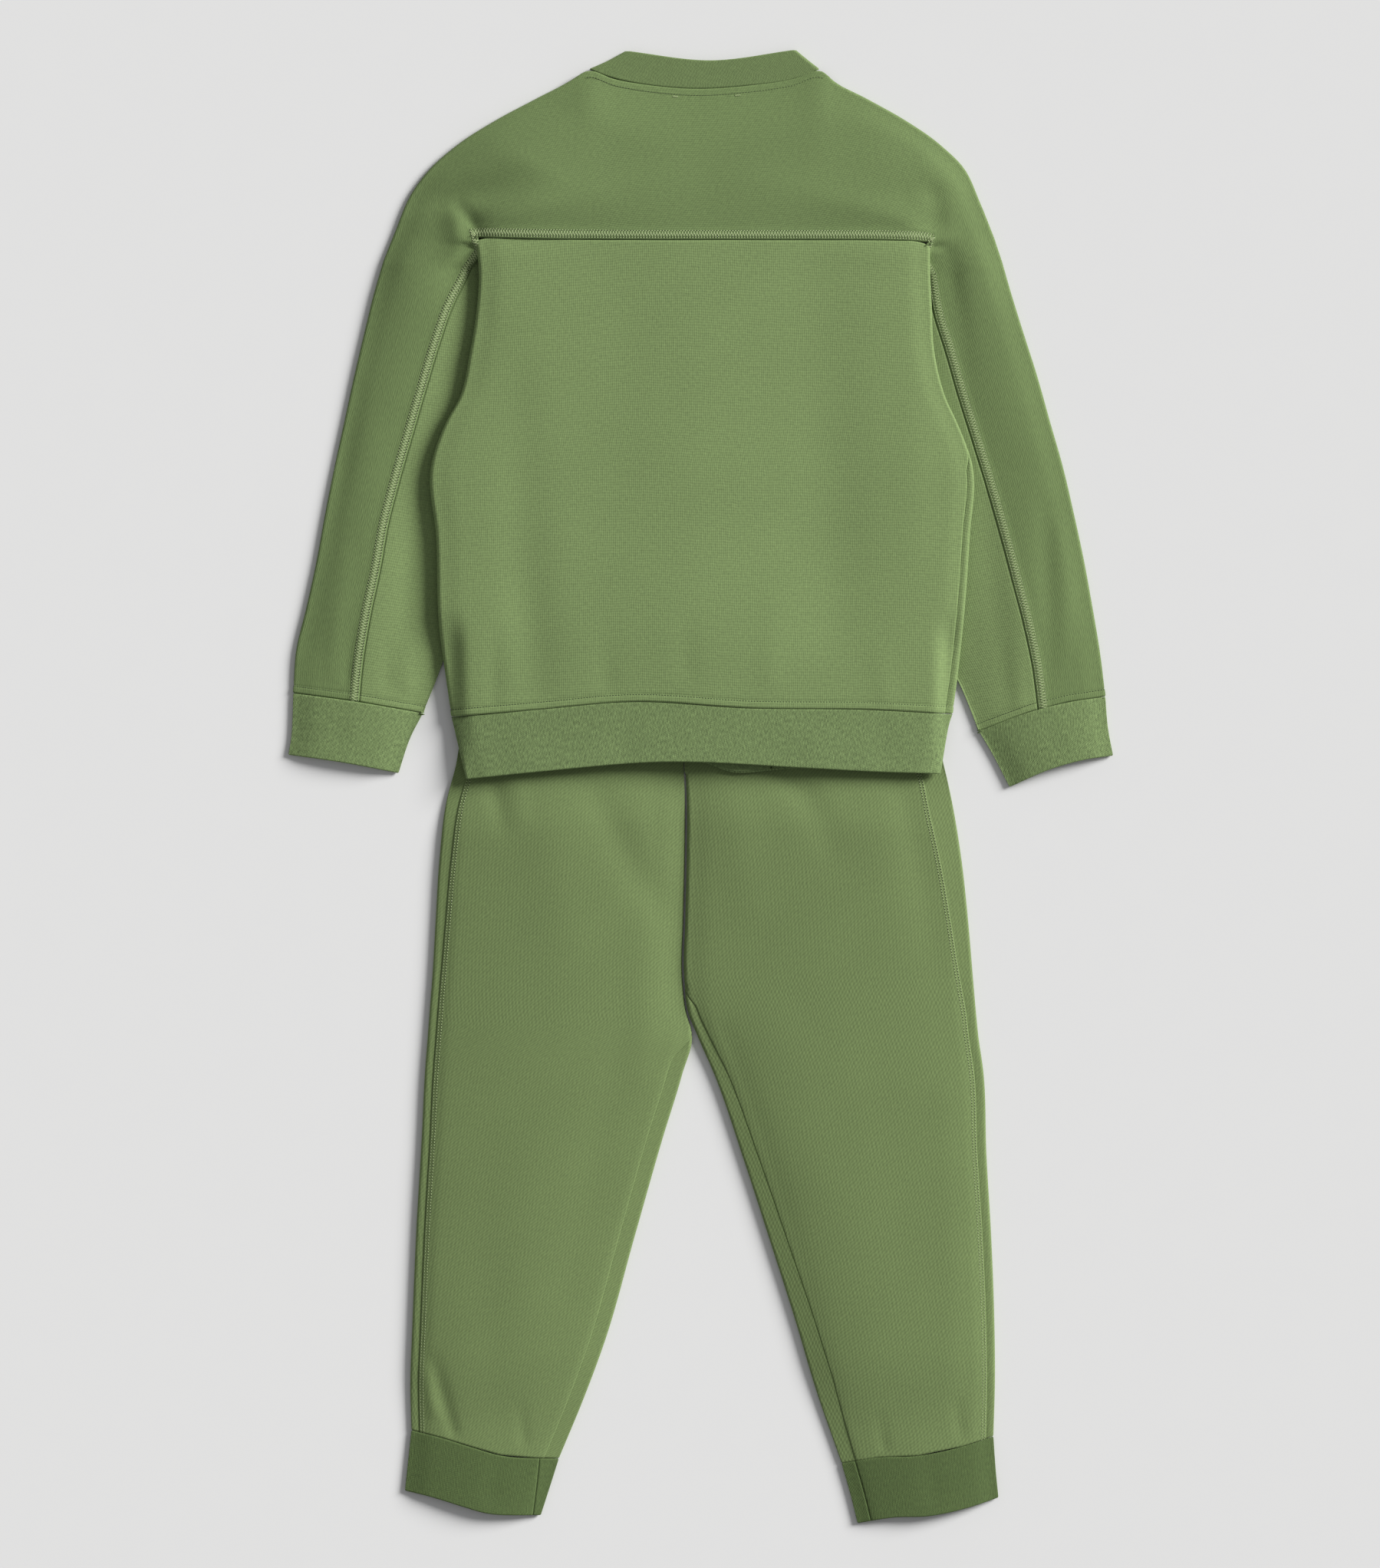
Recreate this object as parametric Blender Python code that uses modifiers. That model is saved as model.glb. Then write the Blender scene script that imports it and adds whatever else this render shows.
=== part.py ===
"""Two-piece knitted sweat set, laid flat with its back up.

The sweatshirt lies over the waist of the joggers, and its sleeves pass under the sides
of its body. Every piece is a cloth wall lofted through sections of a flat tube: rolled
edges, a lower layer on the surface, and an upper layer that lies on it. +Y points to the
collar, +Z points up from the surface, and all tables are in millimetres.
"""
import math
from typing import NamedTuple

import bmesh
import bpy
import numpy as np

MM = 0.001
COLLECTION = "sweat_set"

CLOTH_WALL = 1.8
BAND_WALL = 2.1
COLLAR_WALL = 1.3
SEAM_GAP = 0.3
ROLL = 3.1
CENTRE_ROLL_LEFT = 2.7
CENTRE_ROLL_RIGHT = 3.6
CREST = 7.4
CREST_REACH = 26.0
WRAP_UNDER = 6.0
STOREY = 8.3
STOREY_RAMP = 30.0
SLEEVE_CLEARANCE = 9.0
UNDERARM_Y = 441.0
UNDERARM_RAMP = 29.0
YOKE_SEAM_Y = 455.0
WAIST_TOP_Y = 126.0
WAIST_RAMP = 24.0
FRONT_SEAM_Y = 440.0
CROTCH_Y_LEFT = -192.0
CROTCH_Y_RIGHT = -150.0
INSEAM_TURN = 34.0
ANKLE_BOW_START = -420.0
SIDE_SEAM_TURN = (310.0, 262.0)
SIDE_SEAM_INSET = 7.6
ROLL_SEAM_GAP = 3.4
CENTRE_STRETCH = (-110.0, -232.0)
CENTRE_ROWS = 13
BODY_ROWS = 15
BODY_COLUMNS = (0.04, 0.08, 0.12, 0.17, 0.26, 0.36, 0.48, 0.6, 0.72, 0.81, 0.88, 0.92, 0.96)
SLEEVE_ROWS = 10
YOKE_ROWS = 27
YOKE_COLUMNS = 4
FRONT_YOKE_ROWS = 6
LEG_ROWS = 13
LEG_COLUMNS = 5
ROLL_PLACES = (-4.9, -2.45, 0.0, 2.45, 4.9)
PACKED_STEP = 1.5
UNDER_PLACE = -(ROLL * math.pi / 2 + WRAP_UNDER)

BODY_GREEN = (0.195, 0.271, 0.107)
YOKE_GREEN = (0.158, 0.223, 0.085)
LEG_GREEN = (0.162, 0.223, 0.089)
BAND_GREEN = (0.168, 0.235, 0.095)


class Span(NamedTuple):
    """One section of a flat tube: its two edges, in plan."""
    left_x: float
    left_y: float
    right_x: float
    right_y: float


class SleeveRow(NamedTuple):
    """One section of a sleeve: outer edge, inner edge and the over-sleeve's width."""
    outer_x: float
    outer_y: float
    inner_x: float
    inner_y: float
    over_width: float


class YokeRow(NamedTuple):
    """One section of the yoke, from the shoulder line or neck seam to the yoke seam."""
    outer_x: float
    outer_y: float
    inner_x: float
    inner_y: float
    wrap: float


class Fold(NamedTuple):
    """A soft fold: the line that it runs along, its half width and its height."""
    start_x: float
    start_y: float
    end_x: float
    end_y: float
    half_width: float
    height: float


BODY = [
    Span(-187.5, 454.2, 191.6, 450.0), Span(-185.0, 435.5, 191.4, 435.5),
    Span(-186.2, 400.0, 193.0, 400.0), Span(-192.0, 362.0, 195.2, 362.0),
    Span(-201.0, 323.5, 204.8, 323.5), Span(-211.8, 304.0, 213.8, 304.0),
    Span(-224.6, 266.0, 227.2, 266.0), Span(-220.2, 208.0, 224.6, 208.0),
    Span(-217.6, 131.5, 218.9, 131.5), Span(-212.5, 93.0, 214.4, 90.6),
    Span(-207.4, 58.2, 210.2, 60.5),
]
HEM_BAND = [Span(-207.1, 57.1, 210.2, 59.4), Span(-202.2, 35.5, 207.4, 51.5),
            Span(-195.2, 6.1, 200.3, 10.6)]
SLEEVE_LEFT = [
    SleeveRow(-264.3, 438.7, -184.0, 432.3, 75.0), SleeveRow(-272.6, 410.0, -171.0, 394.6, 68.7),
    SleeveRow(-279.7, 381.0, -163.2, 363.8, 65.4), SleeveRow(-288.6, 343.0, -163.2, 324.2, 62.8),
    SleeveRow(-297.0, 304.3, -167.7, 285.0, 60.0), SleeveRow(-305.3, 266.0, -174.0, 246.0, 57.4),
    SleeveRow(-313.0, 227.5, -182.4, 208.3, 55.2), SleeveRow(-320.0, 189.0, -192.6, 170.0, 55.3),
    SleeveRow(-328.3, 150.7, -205.4, 132.2, 55.5), SleeveRow(-337.3, 112.3, -218.2, 94.4, 58.2),
    SleeveRow(-339.5, 78.1, -231.4, 61.4, 57.0),
]
SLEEVE_RIGHT = [
    SleeveRow(251.5, 438.7, 182.6, 424.6, 65.0), SleeveRow(259.8, 410.0, 170.9, 386.2, 69.1),
    SleeveRow(268.8, 381.0, 163.2, 353.0, 68.8), SleeveRow(281.0, 342.7, 162.0, 310.7, 69.8),
    SleeveRow(291.8, 304.3, 164.5, 270.4, 68.6), SleeveRow(302.7, 266.0, 169.0, 230.0, 67.7),
    SleeveRow(311.7, 227.5, 176.0, 191.0, 65.8), SleeveRow(320.0, 189.0, 186.2, 152.6, 64.0),
    SleeveRow(327.0, 150.7, 199.0, 116.2, 61.2), SleeveRow(333.4, 112.3, 216.3, 85.4, 59.4),
    SleeveRow(337.9, 75.2, 232.3, 46.4, 59.0),
]
CUFF_LEFT = [Span(-339.3, 77.3, -232.0, 60.6), Span(-341.1, 42.0, -243.8, 36.0),
             Span(-343.7, 26.6, -251.8, 11.2)]
CUFF_RIGHT = [Span(233.2, 45.3, 337.7, 74.2), Span(243.8, 27.0, 339.8, 51.0),
              Span(257.9, -0.3, 344.3, 25.9)]
SHOULDERS = [
    YokeRow(-256.6, 457.9, -189.6, 449.6, 1.0), YokeRow(-240.0, 496.3, -189.6, 454.9, 1.0),
    YokeRow(-225.3, 515.5, -187.8, 457.6, 1.0), YokeRow(-203.5, 534.7, -179.8, 457.6, 1.0),
    YokeRow(-174.1, 553.9, -158.7, 457.0, 1.0), YokeRow(-137.0, 573.1, -131.2, 456.3, 0.65),
    YokeRow(-108.8, 587.2, -105.6, 456.0, 0.25), YokeRow(-94.1, 596.8, -91.5, 456.0, 0.0),
    YokeRow(-72.3, 590.3, -71.0, 455.8, 0.0), YokeRow(-40.3, 584.8, -40.3, 455.6, 0.0),
    YokeRow(-4.5, 582.1, -4.5, 455.6, 0.0), YokeRow(36.5, 584.4, 36.5, 455.6, 0.0),
    YokeRow(77.0, 590.3, 74.9, 455.6, 0.0), YokeRow(100.5, 596.8, 97.9, 455.6, 0.0),
    YokeRow(111.4, 587.2, 113.3, 455.6, 0.35), YokeRow(139.5, 573.1, 137.6, 455.6, 0.8),
    YokeRow(174.1, 553.9, 163.2, 455.2, 1.0), YokeRow(201.0, 534.7, 183.0, 454.4, 1.0),
    YokeRow(220.2, 515.5, 191.8, 452.4, 1.0), YokeRow(233.6, 486.7, 194.6, 447.7, 1.0),
    YokeRow(245.1, 457.9, 194.2, 438.8, 1.0),
]
COLLAR = [Span(-62.1, 613.8, 79.4, 614.7), Span(-78.1, 605.1, 90.2, 605.8),
          Span(-91.5, 599.6, 97.9, 599.6)]
LEG_LEFT = [
    Span(-172.0, 72.0, -14.0, 72.0), Span(-198.4, 42.0, -14.0, 42.0),
    Span(-204.2, 16.3, -13.8, 16.3), Span(-211.8, -12.5, -12.7, -12.5),
    Span(-217.6, -60.5, -12.9, -60.5), Span(-220.8, -111.7, -14.1, -111.7),
    Span(-223.4, -156.5, -15.1, -156.5), Span(-225.9, -188.5, -11.6, -188.5),
    Span(-227.2, -206.0, -6.8, -206.0), Span(-229.8, -239.7, -15.4, -241.0),
    Span(-232.3, -291.0, -31.4, -293.4), Span(-236.8, -367.7, -54.4, -374.0),
    Span(-240.3, -451.0, -80.0, -463.7), Span(-241.9, -495.7, -97.3, -510.4),
    Span(-241.0, -536.6, -118.0, -560.3),
]
LEG_RIGHT = [
    Span(-12.6, 72.0, 172.0, 72.0), Span(-12.6, 42.0, 196.5, 42.0),
    Span(-12.3, 16.3, 203.5, 16.3), Span(-11.2, -12.5, 209.9, -12.5),
    Span(-11.4, -60.5, 217.8, -60.5), Span(-12.6, -111.7, 223.4, -111.7),
    Span(-13.6, -156.5, 227.2, -156.5), Span(-10.1, -188.5, 230.0, -188.5),
    Span(-3.2, -206.0, 231.7, -206.0), Span(11.5, -239.7, 236.2, -238.4),
    Span(35.8, -310.0, 238.7, -307.0), Span(58.2, -379.2, 242.6, -374.0),
    Span(79.4, -445.8, 245.1, -438.0), Span(96.6, -503.4, 245.8, -492.5),
    Span(117.8, -564.2, 244.5, -541.8),
]
ANKLE_LEFT = [Span(-241.0, -537.4, -118.2, -561.1), Span(-243.8, -562.9, -124.8, -582.0),
              Span(-246.4, -587.2, -133.1, -607.7)]
ANKLE_RIGHT = [Span(118.3, -565.0, 244.5, -542.6), Span(125.4, -591.0, 246.4, -569.3),
               Span(131.2, -614.4, 248.7, -593.0)]
WAISTBAND = [Span(-164.0, 107.8, 164.0, 107.8), Span(-172.0, 72.8, 172.0, 72.8)]

# How far a seam or edge bows from the straight line between its ends: (share across, bow)
STRAIGHT = [(0.0, 0.0), (1.0, 0.0)]
YOKE_BOW = [(0.0, 0.0), (0.012, 1.6), (0.03, 2.4), (0.076, 2.2), (0.15, 1.8), (0.39, 2.1),
            (0.59, 3.0), (0.76, 3.7), (0.86, 4.1), (0.93, 4.0), (0.977, 3.2), (0.99, 1.9),
            (1.0, 0.0)]
FRONT_SEAM_BOW = [(0.0, 0.0), (0.1, 1.0), (0.47, 1.4), (0.8, 3.2), (0.95, 3.2), (1.0, 0.0)]
HEM_BOW = [(0.0, 0.0), (0.17, 5.6), (0.36, 11.8), (0.6, 5.8), (0.84, 3.9), (1.0, 0.0)]
HEM_EDGE_BOW = [(0.0, 0.0), (0.16, 5.7), (0.4, 12.4), (0.72, 6.0), (0.85, 2.6), (1.0, 0.0)]
HEM_UNDER_BOW = [(0.0, 0.0), (0.16, 5.7), (0.4, 12.4), (0.51, 10.5), (0.55, 4.4), (0.64, 4.4),
                 (0.68, 5.6), (0.85, 2.6), (1.0, 0.0)]
NECK_BOW = [(0.0, 0.0), (0.03, -2.8), (0.1, -7.5), (0.27, -13.9), (0.46, -16.6),
            (0.67, -14.3), (0.9, -8.0), (0.97, -3.4), (1.0, 0.0)]
NECK_UNDER_BOW = [(0.0, 0.0), (0.2, -15.0), (0.46, -35.0), (0.75, -15.0), (1.0, 0.0)]
COLLAR_EDGE_BOW = [(0.0, 0.0), (0.5, -8.4), (1.0, 0.0)]
CUFF_LEFT_BOW = [(0.0, 0.0), (0.5, 1.0), (1.0, 0.0)]
CUFF_RIGHT_BOW = [(0.0, 0.0), (0.4, 4.4), (0.7, 3.8), (1.0, 0.0)]
ANKLE_LEFT_BOW = [(0.0, 0.0), (0.21, -1.5), (0.41, -4.4), (0.6, -6.6), (0.85, -3.2), (1.0, 0.0)]
ANKLE_RIGHT_BOW = [(0.0, 0.0), (0.25, -0.6), (0.5, -4.8), (0.8, -3.6), (1.0, 0.0)]

# The upper front's side edges: (y, left x, right x)
FRONT_SIDES = [(507.8, -218.2, 211.6), (496.0, -228.0, 218.8), (480.0, -237.0, 226.2),
               (458.0, -246.4, 234.0), (440.0, -253.6, 239.6)]

# Where the joggers' seams lie on the top, in from each edge: (y, width)
OUTSEAM_LEFT = [(72.0, 12.0), (6.0, 11.0), (-60.0, 9.5), (-160.0, 6.6), (-540.0, 6.6)]
OUTSEAM_RIGHT = [(72.0, 19.0), (-25.0, 20.0), (-140.0, 12.0), (-190.0, 7.5), (-540.0, 6.0)]
INSEAM_LEFT = [(-206.0, 12.0), (-290.0, 12.6), (-540.0, 12.0)]
INSEAM_RIGHT = [(-150.0, 6.0), (-180.0, 8.0), (-240.0, 11.0), (-495.0, 16.5), (-560.0, 12.0)]

BODY_FOLDS = [
    Fold(-118.0, 245.0, -114.0, 85.0, 17.0, -1.6), Fold(-140.0, 235.0, -136.0, 95.0, 14.0, 0.9),
    Fold(-30.0, 420.0, -22.0, 130.0, 32.0, -1.0), Fold(88.0, 390.0, 80.0, 150.0, 34.0, 1.0),
    Fold(146.0, 440.0, 150.0, 330.0, 22.0, -1.0),
]
YOKE_FOLDS = [
    Fold(-215.0, 480.0, -160.0, 500.0, 9.0, -1.9), Fold(-205.0, 500.0, -165.0, 520.0, 9.0, 1.2),
    Fold(-196.0, 478.0, -184.0, 462.0, 7.0, -1.6), Fold(165.0, 515.0, 205.0, 500.0, 12.0, 1.3),
    Fold(203.0, 480.0, 214.0, 440.0, 9.0, -1.8), Fold(-95.0, 575.0, -150.0, 540.0, 14.0, -1.1),
]
LEG_FOLDS = [
    Fold(-78.0, -20.0, -34.0, -98.0, 16.0, -1.9), Fold(-125.0, -25.0, -110.0, -110.0, 26.0, 1.0),
    Fold(-168.0, 0.0, -166.0, -28.0, 8.0, -1.6), Fold(75.0, 5.0, 106.0, -50.0, 15.0, -1.7),
    Fold(28.0, -10.0, 36.0, -90.0, 22.0, 1.0), Fold(-26.0, 0.0, -24.0, -200.0, 13.0, -1.5),
    Fold(-222.0, -485.0, -207.0, -530.0, 8.0, -1.7), Fold(30.0, -280.0, 110.0, -500.0, 12.0, -0.8),
]


def smooth_step(value):
    """Return 0 below 0, 1 above 1, and an even curve between."""
    value = np.clip(value, 0.0, 1.0)
    return value * value * (3.0 - 2.0 * value)


def table_at(table, key):
    """Read a two-column table at a key, with straight lines between its rows."""
    rows = sorted(table)
    return np.interp(key, [row[0] for row in rows], [row[1] for row in rows])


def stations(rows, count, dense_y=None, extra=0):
    """Return `count` rows along a smooth curve through a table's rows.

    dense_y: a stretch, given by its y from high to low, that gets `extra` more rows.
    """
    table = np.array(rows, dtype=float)
    step = np.linalg.norm(np.diff(table[:, :4], axis=0), axis=1)
    along = np.concatenate([[0.0], np.cumsum(step)])
    slope = np.gradient(table, along, axis=0)
    wanted = np.linspace(0.0, along[-1], count)
    if dense_y:
        ends = np.interp(-np.array(dense_y), -table[:, 1], along)
        wanted = np.sort(np.concatenate([wanted[(wanted < ends[0]) | (wanted > ends[1])],
                                         np.linspace(*ends, extra)]))
    index = np.clip(np.searchsorted(along, wanted) - 1, 0, len(rows) - 2)
    length = (along[index + 1] - along[index])[:, None]
    t = ((wanted - along[index]))[:, None] / length
    return (table[index] * (2 * t**3 - 3 * t**2 + 1) + slope[index] * length * (t**3 - 2 * t**2 + t)
            + table[index + 1] * (3 * t**2 - 2 * t**3) + slope[index + 1] * length * (t**3 - t**2))


def sleeve_inner_x(rows, y):
    """Return the x of a sleeve's inner edge at a given y."""
    table = sorted((row.inner_y, row.inner_x) for row in rows)
    return np.interp(y, [row[0] for row in table], [row[1] for row in table])


def lift(x, y):
    """Return how far the sweatshirt's body is raised by the sleeves and waist under it."""
    near_left = sleeve_inner_x(SLEEVE_LEFT, y) + SLEEVE_CLEARANCE
    near_right = sleeve_inner_x(SLEEVE_RIGHT, y) - SLEEVE_CLEARANCE
    below_underarm = smooth_step((UNDERARM_Y + UNDERARM_RAMP - y) / UNDERARM_RAMP)
    left = smooth_step((near_left + STOREY_RAMP - x) / STOREY_RAMP) * below_underarm
    right = smooth_step((x - near_right + STOREY_RAMP) / STOREY_RAMP) * below_underarm
    waist = smooth_step((WAIST_TOP_Y + WAIST_RAMP - y) / WAIST_RAMP)
    return STOREY * (1.0 - (1.0 - left) * (1.0 - right) * (1.0 - waist))


def shoulder_lift(x, y):
    """Return the lift of the upper pieces, which falls to the sleeves at the underarms."""
    inside = smooth_step((x + 207.0) / 19.0) * smooth_step((211.0 - x) / 19.0)
    return lift(x, y) * inside


def no_lift(x, y):
    """Return zero for a piece that lies on the surface."""
    return np.zeros_like(x)


def fold_height(folds, x, y):
    """Return the sum of the soft folds at each point."""
    total = np.zeros_like(x)
    for fold in folds:
        run = np.array([fold.end_x - fold.start_x, fold.end_y - fold.start_y])
        length = np.linalg.norm(run)
        run /= length
        along = (x - fold.start_x) * run[0] + (y - fold.start_y) * run[1]
        across = (x - fold.start_x) * run[1] - (y - fold.start_y) * run[0]
        past_end = np.maximum(np.maximum(-along, along - length), 0.0)
        total += fold.height * np.exp(-(across**2 + past_end**2) / fold.half_width**2)
    return total


class Ring:
    """A closed flat-tube section, measured along its cloth from the left edge over the top."""

    ARC_STEPS = 16
    FLAT_STEPS = 80

    def __init__(self, start, end, rolls=(ROLL, ROLL), bows=(STRAIGHT, STRAIGHT), folds=(),
                 ground=no_lift, end_reach=CREST_REACH):
        self.start = np.array(start, dtype=float)
        self.end = np.array(end, dtype=float)
        self.width = float(np.linalg.norm(self.end - self.start))
        roll_a, roll_b = rolls
        angle = np.linspace(0.0, math.pi / 2, self.ARC_STEPS)
        flat = np.linspace(roll_a, self.width - roll_b, self.FLAT_STEPS)
        rise = smooth_step((flat - roll_a) / CREST_REACH)
        fall = smooth_step((self.width - roll_b - flat) / end_reach)
        edge = roll_a + (roll_b - roll_a) * (flat - roll_a) / (self.width - roll_a - roll_b)
        top = 2 * edge + (CREST - 2 * edge) * rise * fall
        self.top_count = 2 * self.ARC_STEPS + self.FLAT_STEPS
        along = np.concatenate([
            roll_a * (1 - np.cos(angle)), flat, self.width - roll_b * (1 - np.cos(angle[::-1])),
            self.width - roll_b * (1 - np.cos(angle)), flat[::-1],
            roll_a * (1 - np.cos(angle[::-1]))])
        height = np.concatenate([
            roll_a * (1 + np.sin(angle)), top, roll_b * (1 + np.sin(angle[::-1])),
            roll_b * (1 - np.sin(angle)), np.zeros_like(flat),
            roll_a * (1 - np.sin(angle[::-1]))])
        plan = self.start + (self.end - self.start) * (along / self.width)[:, None]
        is_top = np.arange(len(along)) < self.top_count
        plan[:, 1] += np.where(is_top, table_at(bows[0], along / self.width),
                               table_at(bows[1], along / self.width))
        x, y = plan[:, 0], plan[:, 1]
        inside = smooth_step((height - ROLL) / ROLL) * is_top
        height = height + fold_height(folds, x, y) * inside + ground(x, y)
        self.points = np.column_stack([x, y, height])
        step = np.linalg.norm(np.diff(self.points, axis=0), axis=1)
        self.along = np.concatenate([[0.0], np.cumsum(step)])
        self.total = self.along[-1] + np.linalg.norm(self.points[0] - self.points[-1])
        self.top = self.along[self.top_count - 1]

    def at(self, distance):
        """Return the points at distances along the ring, which may run past its start."""
        distance = np.mod(distance, self.total)
        along = np.append(self.along, self.total)
        points = np.vstack([self.points, self.points[:1]])
        return np.column_stack([np.interp(distance, along, points[:, k]) for k in range(3)])


def seam_columns(place, rising):
    """Return column places from a seam round an edge's roll; places above 0 are on the top."""
    roll = np.array(ROLL_PLACES if rising else ROLL_PLACES[::-1])
    packed = PACKED_STEP * np.arange(1, len(roll) + 1)
    beyond = np.maximum(place + packed, roll) if rising else np.minimum(place - packed, roll)
    return np.concatenate([[place], beyond])


def between(start, end, middle):
    """Return distances between two others: a number of even ones, or the given shares."""
    shares = np.linspace(0.0, 1.0, middle + 2)[1:-1] if np.isscalar(middle) else np.array(middle)
    return start + (end - start) * shares


def strip(ring, left, right, over_top, middle, rolls=(True, True)):
    """Return a panel's points across a ring, between places on its left and right edges."""
    at_left = seam_columns(left, over_top) if rolls[0] else np.array([left])
    at_right = seam_columns(right, over_top) if rolls[1] else np.array([right])
    if over_top:
        head, tail = at_left, ring.top - at_right[::-1]
    else:
        head, tail = ring.top - at_right, ring.total + at_left[::-1]
    run = between(head[-1], tail[0], middle)
    if not over_top:
        run = between(tail[0], head[-1], middle)[::-1]
    return ring.at(np.concatenate([head, run, tail]))


def make_material(name, colour):
    """Return a plain cloth material."""
    material = bpy.data.materials.new(name)
    material.use_nodes = True
    shader = material.node_tree.nodes["Principled BSDF"]
    shader.inputs["Base Color"].default_value = (*colour, 1.0)
    shader.inputs["Roughness"].default_value = 0.9
    shader.inputs["Metallic"].default_value = 0.0
    return material


def add_wall(name, grid, colour, wall=CLOTH_WALL, closed=False, flip=False):
    """Make a cloth wall from a grid of points on its outer face.

    grid: rows of points, in millimetres. closed: the rows are rings.
    """
    rows, across = grid.shape[:2]
    mesh = bpy.data.meshes.new(name)
    loft = bmesh.new()
    verts = [[loft.verts.new(point * MM) for point in row] for row in grid]
    for row in range(rows - 1):
        for col in range(across if closed else across - 1):
            right = (col + 1) % across
            corners = [verts[row][col], verts[row + 1][col], verts[row + 1][right],
                       verts[row][right]]
            loft.faces.new(corners[::-1] if flip else corners)
    loft.to_mesh(mesh)
    loft.free()
    piece = bpy.data.objects.new(name, mesh)
    mesh.materials.append(make_material(name, colour))
    mesh.shade_smooth()
    solidify = piece.modifiers.new("cloth thickness", "SOLIDIFY")
    solidify.thickness = wall * MM
    solidify.offset = -1.0
    bpy.data.collections[COLLECTION].objects.link(piece)
    return piece


def blend_bows(first, last, count):
    """Return one bow table for each row, going from the first seam's bow to the last's."""
    share = np.linspace(0.0, 1.0, 101)
    start, end = table_at(first, share), table_at(last, share)
    return [list(zip(share, start + (end - start) * k / (count - 1))) for k in range(count)]


def tube(name, rows, colour, count, top_bows, under_bows, across, ground=no_lift,
         wall=BAND_WALL):
    """Make a band or cuff: a closed ring of cloth."""
    spans = stations(rows, count) if len(rows) > 2 else np.array(rows, dtype=float)
    count = len(spans)
    tops = blend_bows(*top_bows, count)
    unders = blend_bows(*under_bows, count)
    grid = []
    for span, top, under in zip(spans, tops, unders):
        ring = Ring(span[:2], span[2:], bows=(top, under), ground=ground)
        side = np.array(ROLL_PLACES)
        over = between(side[-1], ring.top - side[-1], across)
        under_run = between(ring.total - side[-1], ring.top + side[-1], across)[::-1]
        grid.append(ring.at(np.concatenate([side, over, ring.top + side, under_run])))
    return add_wall(name, np.array(grid), colour, wall, closed=True)


def body_rings():
    """Return the rings of the sweatshirt's body, from the yoke seam to the hem seam."""
    spans = stations(BODY, BODY_ROWS, SIDE_SEAM_TURN, 7)
    tops = blend_bows(YOKE_BOW, HEM_BOW, len(spans))
    unders = blend_bows(FRONT_SEAM_BOW, HEM_BOW, len(spans))
    return [Ring(span[:2], span[2:], bows=(top, under), folds=BODY_FOLDS, ground=lift)
            for span, top, under in zip(spans, tops, unders)]


def side_seam(y):
    """Return the right side seam's place: on the top low down, under the roll higher up."""
    high, low = SIDE_SEAM_TURN
    turn = (high - np.clip(y, low, high)) / (high - low)
    return UNDER_PLACE + (SIDE_SEAM_INSET - UNDER_PLACE) * turn


def seam_gap(place):
    """Return the gap at a seam, wider where it passes round a roll."""
    return SEAM_GAP + ROLL_SEAM_GAP * smooth_step(2.0 - abs(place) / 5.4)


def back_lower():
    """Lower back: rolls round the left side, and round the right side above its seam."""
    grid = [strip(ring, UNDER_PLACE, side_seam(ring.end[1]), True, BODY_COLUMNS)
            for ring in body_rings()]
    return add_wall("back_lower", np.array(grid), BODY_GREEN)


def front_lower():
    """Lower front: lies under the back and turns up round the right side low down."""
    grid = []
    for ring in body_rings():
        place = side_seam(ring.end[1])
        grid.append(strip(ring, UNDER_PLACE - SEAM_GAP, place - seam_gap(place), False,
                          BODY_COLUMNS, (False, True)))
    return add_wall("front_lower", np.array(grid), BODY_GREEN)


def mirrored(bow):
    """Return a bow table measured from the other end."""
    return [(1.0 - share, value) for share, value in bow[::-1]]


def sleeve_sections(rows, cuff_bow):
    """Return each sleeve ring, from its outer edge, with the over-sleeve's width there."""
    sections = []
    spans = stations(rows, SLEEVE_ROWS)
    for k, row in enumerate(spans):
        late = max(0.0, 4.0 * k / (SLEEVE_ROWS - 1) - 3.0)
        bow = [(share, value * late) for share, value in cuff_bow]
        ring = Ring(row[:2], row[2:4], folds=YOKE_FOLDS, end_reach=10.0, bows=(bow, bow))
        sections.append((ring, row[4]))
    return sections


def yoke_ring(row):
    """Return the section of one yoke row, with its shoulder roll fading out at the neck."""
    outer, inner = np.array(row[:2]), np.array(row[2:4])
    toward = (inner - outer) / np.linalg.norm(inner - outer)
    wrap = float(np.clip(row[4], 0.0, 1.0))
    outer = outer - toward * ROLL * (1.0 - wrap)
    far = inner + toward * CREST_REACH * 2
    ring = Ring(outer, far, folds=YOKE_FOLDS, ground=shoulder_lift)
    quarter = ROLL * math.pi / 2
    start = quarter - wrap * (quarter - UNDER_PLACE)
    plan = np.linalg.norm(ring.points[:ring.top_count, :2] - outer, axis=1)
    end = np.interp(np.linalg.norm(inner - outer), plan, ring.along[:ring.top_count])
    return strip(ring, start, ring.top - end, True, YOKE_COLUMNS, (True, False))


def over_sleeve(rows, cuff_bow):
    """Return the yoke's sections down one sleeve."""
    return [strip(ring, UNDER_PLACE, ring.top - width, True, YOKE_COLUMNS, (True, False))
            for ring, width in sleeve_sections(rows, cuff_bow)]


def back_yoke():
    """Back yoke and over-sleeves: one strip from the left cuff to the right cuff."""
    left = over_sleeve(SLEEVE_LEFT, CUFF_LEFT_BOW)[::-1]
    middle = [yoke_ring(row) for row in stations(SHOULDERS, YOKE_ROWS)]
    right = over_sleeve(SLEEVE_RIGHT, mirrored(CUFF_RIGHT_BOW))
    return add_wall("back_yoke", np.array(left + middle + right), YOKE_GREEN, flip=True)


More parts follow.
